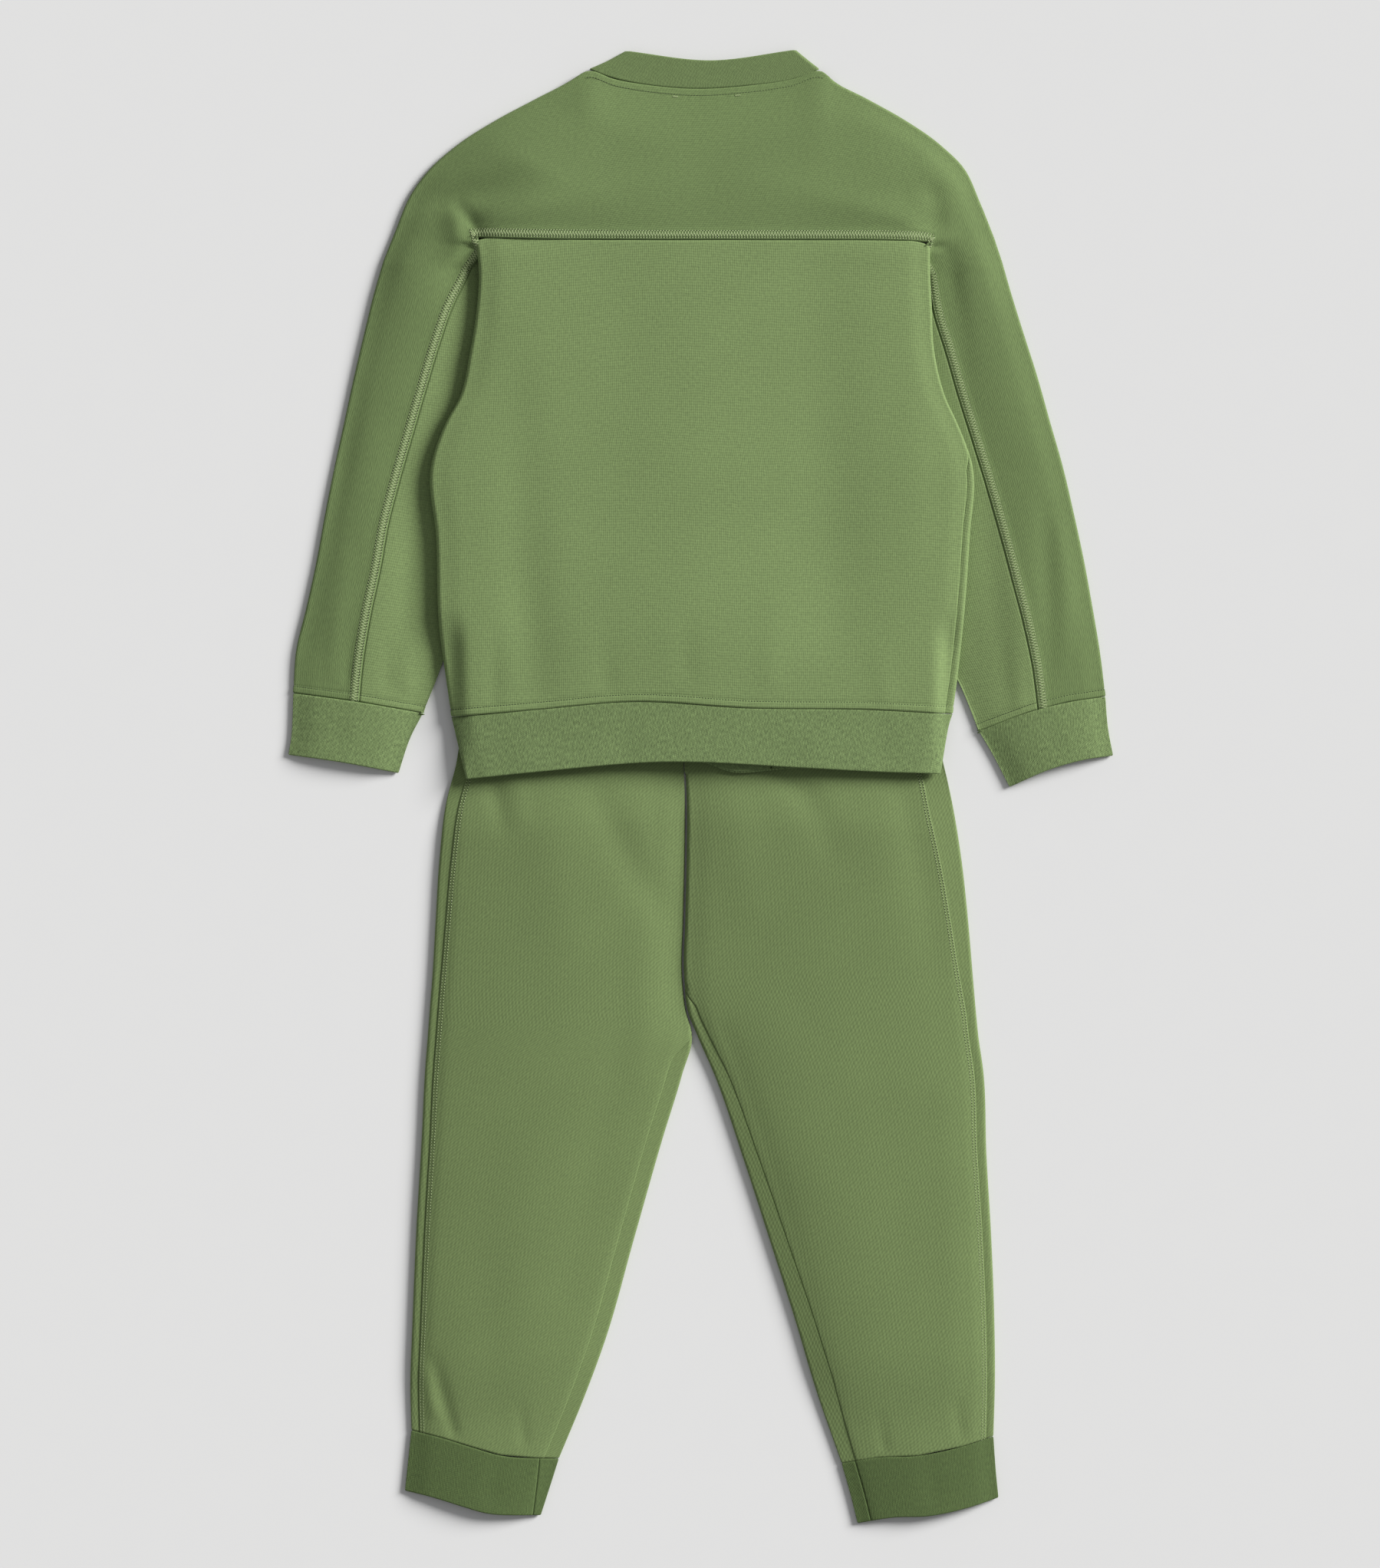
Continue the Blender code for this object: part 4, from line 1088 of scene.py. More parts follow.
@dataclass
class Sweatshirt:
    """The sweatshirt's sections and seams, and the methods that make its panels."""
    # Sections from the yoke seam down, as (left x, left y, right x, right y)
    body: Rows = (
        (-187.5, 454.2, 191.6, 450), (-185, 435.5, 191.4, 435.5), (-186.2, 400, 193, 400),
        (-192, 362, 195.2, 362), (-201, 323.5, 204.8, 323.5), (-211.8, 304, 213.8, 304),
        (-224.6, 266, 227.2, 266), (-220.2, 208, 224.6, 208), (-217.6, 131.5, 218.9, 131.5),
        (-212.5, 93, 214.4, 90.6), (-207.4, 58.2, 210.2, 60.5))
    hem: Rows = (
        (-207.4, 58, 210.2, 60.3), (-202.2, 35.5, 207.4, 51.5), (-195.2, 6.1, 200.3, 10.6))
    # Sections as (outer x, outer y, inner x, inner y, the over-sleeve's width)
    sleeve_left: Rows = (
        (-264.3, 438.7, -184, 432.3, 77), (-272.6, 410, -171, 394.6, 68.7),
        (-279.7, 381, -163.2, 363.8, 65.4), (-288.6, 343, -163.2, 324.2, 62.8),
        (-297, 304.3, -167.7, 285, 60), (-305.3, 266, -174, 246, 57.4),
        (-313, 227.5, -182.4, 208.3, 55.2), (-320, 189, -192.6, 170, 55.3),
        (-328.3, 150.7, -205.4, 132.2, 55.5), (-337.3, 112.3, -218.2, 94.4, 58.2),
        (-339.5, 78.1, -231.4, 61.4, 57))
    sleeve_right: Rows = (
        (251.5, 438.7, 182.6, 424.6, 66.5), (259.8, 410, 170.9, 386.2, 69.1),
        (268.8, 381, 163.2, 353, 68.8), (281, 342.7, 162, 310.7, 69.8),
        (291.8, 304.3, 164.5, 270.4, 68.6), (302.7, 266, 169, 230, 67.7),
        (311.7, 227.5, 176, 191, 65.8), (320, 189, 186.2, 152.6, 64),
        (327, 150.7, 199, 116.2, 61.2), (333.4, 112.3, 216.3, 85.4, 59.4),
        (337.9, 75.2, 232.3, 46.4, 59))
    cuff_left: Rows = (
        (-339.5, 77.9, -231.5, 61.2), (-341.1, 42, -243.8, 36), (-343.7, 26.6, -251.8, 11.2))
    cuff_right: Rows = (
        (232.4, 46.2, 337.9, 75), (243.8, 27, 339.8, 51), (257.9, -0.3, 344.3, 25.9))
    # The yoke from left to right, as (x and y on the shoulder or neck, x and y on the yoke
    # seam, how far the edge wraps under)
    shoulders: Rows = (
        (-256.6, 457.9, -180.5, 446, 1), (-240, 496.3, -184.6, 455.3, 1),
        (-225.3, 515.5, -187.8, 457.6, 1), (-203.5, 534.7, -179.8, 457.6, 1),
        (-174.1, 553.9, -158.7, 457, 1), (-137, 573.1, -131.2, 456.3, 0.65),
        (-108.8, 587.2, -105.6, 456, 0.25), (-94.1, 596.8, -91.5, 456, 0),
        (-72.3, 590.3, -71, 455.8, 0), (-40.3, 584.8, -40.3, 455.6, 0),
        (-4.5, 582.1, -4.5, 455.6, 0), (36.5, 584.4, 36.5, 455.6, 0), (77, 590.3, 74.9, 455.6, 0),
        (100.5, 596.8, 97.9, 455.6, 0), (111.4, 587.2, 113.3, 455.6, 0.35),
        (139.5, 573.1, 137.6, 455.6, 0.8), (174.1, 553.9, 163.2, 455.2, 1),
        (201, 534.7, 183, 454.4, 1), (220.2, 515.5, 191, 452.9, 1), (233.6, 486.7, 187, 448.8, 1),
        (245.1, 457.9, 182.5, 438.2, 1))
    collar: Rows = (
        (-62.1, 613.8, 79.4, 614.7), (-78.1, 605.1, 90.2, 605.8), (-92.6, 598.7, 99.4, 598.7))
    # The front yoke's side edges, as (y, left x, right x)
    front_sides: Rows = (
        (507.8, -218.2, 211.6), (496, -228, 218.8), (480, -237, 226.2), (458, -246.4, 234),
        (440, -253.6, 239.6))
    # Bows: how far a seam's line stands above a straight one, as (share of its length, rise)
    yoke_bow: Bow = (
        (0, 0), (0.012, 2.2), (0.03, 3), (0.076, 2.75), (0.15, 2.4), (0.39, 2.7), (0.59, 3.6),
        (0.76, 4.3), (0.86, 4.7), (0.93, 4.6), (0.977, 3.8), (0.99, 2.4), (1, 0))
    front_seam_bow: Bow = ((0, 0), (0.1, 1), (0.47, 1.4), (0.8, 3.2), (0.95, 3.2), (1, 0))
    hem_bow: Bow = ((0, 0), (0.17, 5.6), (0.36, 11.8), (0.6, 5.8), (0.84, 3.9), (1, 0))
    hem_edge_bow: Bow = ((0, 0), (0.16, 5.7), (0.4, 12.4), (0.72, 6), (0.85, 2.6), (1, 0))
    hem_under_bow: Bow = (
        (0, 0), (0.16, 5.7), (0.4, 12.4), (0.51, 10.5), (0.55, 4.4), (0.64, 4.4), (0.68, 5.6),
        (0.85, 2.6), (1, 0))
    neck_bow: Bow = (
        (0, 0), (0.03, -2.8), (0.1, -7.5), (0.27, -13.9), (0.46, -16.6), (0.67, -14.3), (0.9, -8),
        (0.97, -3.4), (1, 0))
    neck_under_bow: Bow = ((0, 0), (0.2, -15), (0.46, -35), (0.75, -15), (1, 0))
    collar_edge_bow: Bow = ((0, 0), (0.5, -8.4), (1, 0))
    cuff_left_bow: Bow = ((0, 0), (0.5, 1), (1, 0))
    cuff_right_bow: Bow = ((0, 0), (0.4, 4.4), (0.7, 3.8), (1, 0))
    # Where the sleeves and the waist lift the body, and its droop at the hem's ends
    sleeve_clearance: float = 9.0
    underarm_y: float = 441.0
    underarm_ramp: float = 29.0
    waist_top_y: float = 126.0
    waist_ramp: float = 24.0
    droop: float = 4.6
    droop_start: float = 194.0
    droop_run: float = 14.0
    droop_top_y: float = 150.0
    droop_ramp: float = 40.0
    # Where the yoke's raised part ends, and how far it narrows below the yoke seam
    raised_left: float = -207.0
    raised_right: float = 211.0
    raised_run: float = 19.0
    raised_ramp: float = 8.0
    # How the top spans the hollow: its sag, and where the span ends at the neck and sides
    sag_share: float = 0.3
    sag_ramp: float = 105.0
    full_end_y: float = 606.0
    full_half_width: float = 222.0
    full_inner: float = 190.0
    full_turn: float = 70.0
    # The seams' places
    body_width: float = 430.0
    yoke_seam_y: float = 455.0
    front_seam_y: float = 440.0
    side_seam_high: float = 310.0
    side_seam_low: float = 262.0
    side_seam_inset: float = 7.6
    armpit_reach: tuple[float, float, float] = (5.0, 22.0, 0.5)
    body_rolls: tuple[float, float] = (3.4, 2.6)
    # How the sleeves are pressed under the body, and the cuffs and the hem flattened
    press: float = 0.38
    press_run: float = 64.0
    press_end_y: float = 428.0
    press_ramp: float = 26.0
    cuff_press: float = 0.3
    cuff_press_y: float = 150.0
    cuff_press_ramp: float = 80.0
    hem_press: float = 0.2
    hem_press_y: float = 130.0
    hem_press_ramp: float = 90.0
    # Where the yoke comes to the body's height along its seam
    settle_run: float = 34.0
    settle_left: float = -206.0
    settle_right: float = 210.0
    settle_fade: float = 18.0
    on_body_y: float = 446.5
    on_body_run: float = 7.0
    neck_left: float = -97.0
    neck_right: float = 103.0
    # The front yoke's neck and corners
    neck_inset: tuple[float, float] = (4.0, 2.0)
    neck_trim: int = 20
    neck_gap: float = 1.0
    neck_points: tuple[float, float] = (-98.0, 104.0)
    corner_cut: float = 26.0
    front_ends: tuple[float, float] = (-216.0, 221.0)
    front_turn: float = 10.0
    front_rows: int = 30
    # Rows of stitches in from an edge, and the two tacks that hold the label
    neck_row: float = 5.8
    cover_row: float = 5.2
    tack_reach: float = 4.5
    tack_drop: float = 7.6
    tack_places: tuple[float, float] = (-19.8, 30.7)

    def inner_x(self, rows: Rows, y: Array) -> Array:
        """Return the x of a sleeve's inner edge at a given y."""
        return table_at([(row[3], row[2]) for row in rows], y)

    def hollow(self, x: Array, y: Array, ramp: float, waist_ramp: float) -> Array:
        """Return where nothing lies under the body, from 0 over the sleeves and waist to 1.

        Args:
            x: Places across.
            y: Places along.
            ramp: How far the cloth takes to come down beside a sleeve.
            waist_ramp: How far it takes to come down above the waist.

        Returns:
            The share at each place.
        """
        near_left = self.inner_x(self.sleeve_left, y) + self.sleeve_clearance
        near_right = self.inner_x(self.sleeve_right, y) - self.sleeve_clearance
        below = smooth_step((self.underarm_y + self.underarm_ramp - y) / self.underarm_ramp)
        left = smooth_step((near_left + ramp - x) / ramp) * below
        right = smooth_step((x - near_right + ramp) / ramp) * below
        waist = smooth_step((self.waist_top_y + waist_ramp - y) / waist_ramp)
        return (1.0 - left) * (1.0 - right) * (1.0 - waist)

    def lift(self, x: Array, y: Array) -> Array:
        """Return how far the body is raised by the sleeves and the joggers under it."""
        past = smooth_step((np.abs(x) - self.droop_start) / self.droop_run)
        droop = self.droop * past * smooth_step((self.droop_top_y - y) / self.droop_ramp)
        return STOREY * (1.0 - self.hollow(x, y, STOREY_RAMP, self.waist_ramp)) - droop

    def fullness(self, x: Array, y: Array) -> Array:
        """Return how far the top spans the hollow instead of following the underside."""
        span = self.hollow(x, y, STOREY_RAMP, self.waist_ramp)
        sag = self.sag_share * self.hollow(x, y, self.sag_ramp, self.sag_ramp)
        to_neck = smooth_step((self.full_end_y - y) / (self.full_end_y - self.yoke_seam_y))
        above = smooth_step((y - self.yoke_seam_y) / self.full_turn)
        start = self.full_inner * (1.0 - above)
        to_side = 1.0 - smooth_step((np.abs(x) - start) / (self.full_half_width - start))
        return STOREY * (span - sag) * to_neck * to_side

    def shoulder_lift(self, x: Array, y: Array) -> Array:
        """Return the lift of the upper pieces, which falls to the sleeves at the underarms."""
        run = self.raised_run
        under = run * smooth_step((self.yoke_seam_y - y) / self.raised_ramp)
        inside = (smooth_step((x - self.raised_left - under) / run)
                  * smooth_step((self.raised_right - under - x) / run))
        return self.lift(x, y) * inside

    def body_edges(self, y: Array) -> tuple[Array, Array]:
        """Return the x of the body's left and right edges at a given y."""
        return (table_at([(row[1], row[0]) for row in self.body], y),
                table_at([(row[3], row[2]) for row in self.body], y))

    def settle_sleeve(self, x: Array, y: Array, height: Array) -> Array:
        """Press the sleeves under the body and flatten them towards the cuffs."""
        left, right = self.body_edges(y)
        nearness = np.minimum(x - left, right - x) + self.press_run
        pressed = smooth_step(nearness / self.press_run)
        pressed *= 1.0 - smooth_step((y - self.press_end_y) / self.press_ramp)
        to_cuff = smooth_step((self.cuff_press_y - y) / self.cuff_press_ramp)
        return height * (1.0 - self.press * pressed) * (1.0 - self.cuff_press * to_cuff)

    def settle_yoke(self, x: Array, y: Array, height: Array) -> Array:
        """Bring the yoke to the body's height along its seam, and press its sleeves."""
        half = (self.body[0][2] - self.body[0][0]) / 2
        inward = np.minimum(x - self.body[0][0], self.body[0][2] - x) - ROLL
        body = 2 * ROLL + (CREST - 2 * ROLL) * dome(np.maximum(inward, 0.0), half)
        at_seam = smooth_step((self.yoke_seam_y + self.settle_run - y) / self.settle_run)
        on_body = smooth_step((y - self.on_body_y) / self.on_body_run)
        at_seam *= on_body
        at_seam *= (smooth_step((x - self.settle_left) / self.settle_fade)
                    * smooth_step((self.settle_right - x) / self.settle_fade))
        sleeve = self.settle_sleeve(x, y, height)
        return sleeve + (body - sleeve) * at_seam + self.fullness(x, y) * on_body

    def settle_body(self, x: Array, y: Array, height: Array) -> Array:
        """Span the hollow under the body, and flatten it towards the hem."""
        pressed = self.hem_press * smooth_step((self.hem_press_y - y) / self.hem_press_ramp)
        return height * (1.0 - pressed) + self.fullness(x, y)

    def settle_collar(self, x: Array, y: Array, height: Array) -> Array:
        """Flatten the collar to the height of the neck seam."""
        return np.minimum(height, 2 * ROLL)

    def side_seam(self, y: float) -> float:
        """Return the right side seam's place: on the top low down, under the roll above."""
        turn = (self.side_seam_high - np.clip(y, self.side_seam_low, self.side_seam_high))
        turn /= self.side_seam_high - self.side_seam_low
        return UNDER_PLACE + (self.side_seam_inset - UNDER_PLACE) * turn

    def body_panels(self) -> list[Panel]:
        """Make the lower back and the lower front."""
        spans = Loft(self.body).spaced(FINE[:8], FINE)
        shares = row_shares(spans)
        tops = blend_bows(self.yoke_bow, self.hem_bow, shares)
        unders = blend_bows(self.front_seam_bow, self.hem_bow, shares)
        back, front = [], []
        for span, top, under in zip(spans, tops, unders):
            ring = Ring(span[:2], span[2:4], rolls=self.body_rolls, bows=(top, under),
                        ground=self.lift)
            place = self.side_seam(ring.end[1])
            middle = round(self.body_width / COLUMN_STEP)
            back.append(strip(ring, UNDER_PLACE, place, True, middle))
            front.append(strip(ring, UNDER_PLACE - SEAM_GAP, place - SEAM_GAP, False, middle))
        seams = {Side.FIRST_ROW: Seam.PLAIN, Side.LAST_ROW: Seam.TOPSTITCHED,
                 Side.FIRST_COLUMN: Seam.PLAIN, Side.LAST_COLUMN: Seam.PLAIN}
        return [
            Panel("back_lower", np.array(back), Cloth.BODY, seams=seams, creases=BODY_CREASES,
                  ground=self.lift, settle=self.settle_body,
                  rests_on=("cloth_front_lower",)),
            Panel("front_lower", np.array(front), Cloth.BODY, seams=seams,
                  under_creases=UNDER_CREASES, ground=self.lift, settle=self.settle_body,
                  rests_on=("floor", "cloth_under_sleeve_left", "cloth_back_leg_left"))]

    def sleeve_rings(self, rows: Rows, bow: Bow) -> list[tuple[Ring, float]]:
        """Return each sleeve section with the over-sleeve's width there."""
        spans = Loft(rows).spaced(FINE[:1], FINE)
        rings = []
        for row, share in zip(spans, row_shares(spans)):
            late = max(0.0, 4.0 * share - 3.0)
            bent = [(place, value * late) for place, value in bow]
            crest = CREST - (CREST - SLEEVE_CREST) * float(smooth_step(share / 0.25))
            rings.append((Ring(row[:2], row[2:4], bows=(bent, bent), crest=crest),
                          float(row[4])))
        return rings

    def yoke_row(self, row: Array) -> Array:
        """Return the points of one yoke row, from the shoulder or neck to the yoke seam."""
        outer, inner = row[:2], row[2:4]
        toward = (inner - outer) / np.linalg.norm(inner - outer)
        wrap = float(np.clip(row[4], 0.0, 1.0))
        outer = outer - toward * ROLL * (1.0 - wrap)
        ring = Ring(outer, inner + toward * BODY_HOLD, ground=self.shoulder_lift,
                    reach=EDGE_REACH + (NECK_REACH - EDGE_REACH) * (1.0 - wrap))
        quarter = ROLL * math.pi / 2
        start = quarter - wrap * (quarter - UNDER_PLACE)
        plan = np.linalg.norm(ring.points[:ring.top_count, :2] - outer, axis=1)
        reach = np.interp(np.linalg.norm(inner - outer), plan, ring.along[:ring.top_count])
        return self.over_columns(ring, start, float(reach))

    def over_columns(self, ring: Ring, start: float, reach: float) -> Array:
        """Return the yoke strip's points across one section, closer at its two edges."""
        head = roll_columns(start, True)
        tail = reach - FINE[::-1]
        run = np.linspace(head[-1], tail[0], 24)[1:-1]
        return ring.at(np.concatenate([head, run, tail]))

    def back_yoke(self) -> Panel:
        """Make the back yoke and over-sleeves: one strip from cuff to cuff."""
        left = [self.over_columns(ring, UNDER_PLACE, width)
                for ring, width in self.sleeve_rings(self.sleeve_left, self.cuff_left_bow)]
        middle = [self.yoke_row(row) for row in Loft(self.shoulders).spaced(FINE[:1], FINE[:1])]
        right_bow = mirrored(self.cuff_right_bow)
        right = [self.over_columns(ring, UNDER_PLACE, width)
                 for ring, width in self.sleeve_rings(self.sleeve_right, right_bow)]
        seams = {Side.FIRST_ROW: Seam.TOPSTITCHED, Side.LAST_ROW: Seam.TOPSTITCHED,
                 Side.FIRST_COLUMN: Seam.PLAIN, Side.LAST_COLUMN: Seam.FLATLOCK}
        return Panel("back_yoke", np.array(left[::-1] + middle + right), Cloth.YOKE, flip=True,
                     seams=seams, creases=YOKE_CREASES, ground=self.shoulder_lift,
                     settle=self.settle_yoke,
                     rests_on=("cloth_front_yoke", "cloth_under_sleeve_left"))

    def under_sleeve(self, side: str, rows: Rows, bow: Bow,
                     flip: bool) -> Panel:
        """Make the rest of a sleeve, from the flatlock seam round to the overarm seam.

        Args:
            side: Its side's name.
            rows: The sleeve's sections.
            bow: The bow of its cuff seam.
            flip: Whether the points run the other way round.

        Returns:
            The panel.
        """
        grid = []
        for ring, width in self.sleeve_rings(rows, bow):
            around = ring.top + EDGE_PLACES
            room = float(np.clip((around[0] - width - 1.0) / FINE[8], 0.1, 1.0))
            head = width + SEAM_GAP + FINE[:8] * room
            tail = ring.total + UNDER_PLACE - SEAM_GAP - FINE[:6][::-1]
            over = np.linspace(head[-1], around[0], 14)[1:-1]
            under = np.linspace(around[-1], tail[0], 26)[1:-1]
            grid.append(ring.at(np.concatenate([head, over, around, under, tail])))
        first = grid[0]
        on_top = 1.0 - 0.96 * smooth_step(np.linspace(-0.6, 1.4, len(first)))
        toward_body = np.sign(rows[0][2] - rows[0][0])
        reach = np.array([toward_body * self.armpit_reach[0], *self.armpit_reach[1:]])
        tuck = [first + np.outer(on_top, reach * share) for share in (1.0, 0.75, 0.5, 0.25)]
        grid = tuck + grid
        seams = {Side.LAST_ROW: Seam.TOPSTITCHED, Side.FIRST_COLUMN: Seam.PLAIN,
                 Side.LAST_COLUMN: Seam.PLAIN}
        return Panel(f"under_sleeve_{side}", np.array(grid), Cloth.BODY, flip=flip, seams=seams,
                     creases=SLEEVE_CREASES, under_creases=UNDER_CREASES,
                     settle=self.settle_sleeve)

    def front_yoke(self) -> Panel:
        """Make the upper front: a flat piece under the yoke, down to the front seam."""
        inset = ROLL + WRAP_UNDER + 3 * SEAM_GAP
        left, right = np.array(self.collar[-1][:2]), np.array(self.collar[-1][2:])
        in_x, in_y = self.neck_inset
        neck = Ring(left + [in_x, -in_y], right + [-in_x, -in_y],
                    bows=(self.neck_bow, self.neck_under_bow))
        trim = self.neck_trim
        neck_line = neck.points[neck.top_count:][::-1][trim:-trim:3, :2] - [0.0, self.neck_gap]
        fan = Loft(self.shoulders).spaced(FINE[:1], FINE[:1])
        reach = np.linalg.norm(fan[:, 2:4] - fan[:, :2], axis=1)[:, None]
        shoulder = fan[:, :2] + (fan[:, 2:4] - fan[:, :2]) * inset / reach
        sides = np.array(self.front_sides)
        # The shoulder's lower stretch is left out, since the rows would fold over there
        above = shoulder[:, 1] > sides[0, 0] + self.corner_cut
        is_left = above & (shoulder[:, 0] < self.neck_points[0])
        is_right = above & (shoulder[:, 0] > self.neck_points[1])
        top = np.vstack([sides[:1, (1, 0)], shoulder[is_left], neck_line,
                         shoulder[is_right], sides[:1, (2, 0)]])
        across = np.linspace(0.0, 1.0, len(top))
        bottom_x = sides[-1, 1] + (sides[-1, 2] - sides[-1, 1]) * across
        at_body = (smooth_step((bottom_x - self.front_ends[0]) / self.front_turn)
                   * smooth_step((self.front_ends[1] - bottom_x) / self.front_turn))
        rise = self.yoke_seam_y + SEAM_GAP - self.front_seam_y
        bottom_y = self.front_seam_y + rise * at_body
        grid = []
        for share in np.linspace(0.0, 1.0, self.front_rows):
            x = top[:, 0] + (bottom_x - top[:, 0]) * share
            y = top[:, 1] + (bottom_y - top[:, 1]) * share
            to_left = np.interp(-y[0], -sides[:, 0], sides[:, 1]) - x[0]
            to_right = np.interp(-y[-1], -sides[:, 0], sides[:, 2]) - x[-1]
            x = x + to_left * (1.0 - across) ** 2 + to_right * across**2
            grid.append(np.column_stack([x, y, self.shoulder_lift(x, y)]))
        return Panel("front_yoke", np.array(grid), Cloth.YOKE, flip=True,
                     under_creases=UNDER_CREASES, ground=self.shoulder_lift)

    def bands(self) -> list[Panel]:
        """Make the collar, the cuffs and the hem band."""
        round_left, round_right = (self.cuff_left_bow,) * 2, (self.cuff_right_bow,) * 2
        over_waist = ("cloth_back_leg_left", "cloth_back_leg_right")
        return [
            band("collar", self.collar, (self.collar_edge_bow, self.neck_bow),
                 (self.collar_edge_bow, self.neck_under_bow), -20.0, wall=COLLAR_WALL,
                 cloth=Cloth.COLLAR_RIB, free_first=True, settle=self.settle_collar),
            band("cuff_left", self.cuff_left, round_left, round_left, -30.0,
                 settle=self.settle_sleeve),
            band("cuff_right", self.cuff_right, round_right, round_right, -80.0,
                 settle=self.settle_sleeve),
            band("hem_band", self.hem, (self.hem_bow, self.hem_edge_bow),
                 (self.hem_bow, self.hem_under_bow), -258.0, ground=self.lift,
                 settle=self.settle_body, rests_on=over_waist)]

    def panels(self) -> list[Panel]:
        """Make every panel of the sweatshirt."""
        right_bow = mirrored(self.cuff_right_bow)
        return [self.back_yoke(), *self.body_panels(), self.front_yoke(),
                self.under_sleeve("left", self.sleeve_left, self.cuff_left_bow, False),
                self.under_sleeve("right", self.sleeve_right, right_bow, True), *self.bands()]

    def at_neck(self, points: Array) -> Array:
        """Return which points lie along the neck seam."""
        return (points[:, 0] > self.neck_left) & (points[:, 0] < self.neck_right)

    def threads(self, panels: dict[str, Panel], tree: StitchTree,
                yarns: dict[str, bpy.types.Material]) -> dict[str, list[bpy.types.Object]]:
        """Sew the rows that show.

        Args:
            panels: The finished panels by name.
            tree: The stitch tree.
            yarns: Thread and needle-hole materials by name; the dark thread and holes are painted
                shade.

        Returns:
            The stitches on each panel.
        """
        thread, hole_shade = yarns["thread"], yarns["hole_shade"]
        yoke = panels["back_yoke"]
        hem_place, = SEAM_FORMS[Seam.TOPSTITCHED].needle_rows
        lock = [yoke.line(Side.LAST_COLUMN, place, ON_CLOTH)
                for place in SEAM_FORMS[Seam.FLATLOCK].needle_rows]
        cover = [yoke.line(Side.LAST_COLUMN, self.cover_row, SUNK)]
        neck = [yoke.line(Side.FIRST_COLUMN, self.neck_row, IN_GROOVE).where(self.at_neck)]
        cuffs = [yoke.line(side, hem_place, IN_GROOVE)
                 for side in (Side.FIRST_ROW, Side.LAST_ROW)]
        below_neck = yoke.line(Side.FIRST_COLUMN, self.tack_drop, ON_CLOTH)
        tacks = [below_neck.where(
            lambda points, place=place: np.abs(points[:, 0] - place) < self.tack_reach)
            for place in self.tack_places]
        # The flatlock's needle holes are beads of painted shade
        result = {"back_yoke": [
            tree.sew("flatlock_rows", lock, NEEDLE_STITCH, thread, Slot.YOKE),
            tree.sew("flatlock_cover", cover, COVER_STITCH, thread, Slot.YOKE),
            tree.sew("flatlock_hole_shades", [line.cut(STITCH_PITCH / 2) for line in lock], HOLE_SHADE, hole_shade,
                     Slot.YOKE),
            *tree.topstitch("yoke_topstitch", neck + cuffs, yarns, Slot.YOKE),
            tree.sew("label_tacks", tacks, TACK, thread, Slot.YOKE)]}
        for name, piece in (("back_lower", "hem_topstitch"),
                            ("under_sleeve_left", "under_sleeve_left_topstitch"),
                            ("under_sleeve_right", "under_sleeve_right_topstitch")):
            row = panels[name].line(Side.LAST_ROW, hem_place, IN_GROOVE)
            result[name] = tree.topstitch(piece, [row], yarns, Slot.BODY)
        # The front hem's row is sewn in thread painted dark for shade
        front = panels["front_lower"].line(Side.LAST_ROW, hem_place, SUNK)
        result["front_lower"] = [
            tree.sew("front_hem_topstitch", [front], NEEDLE_STITCH, yarns["shaded_thread"], Slot.BODY)]
        return result


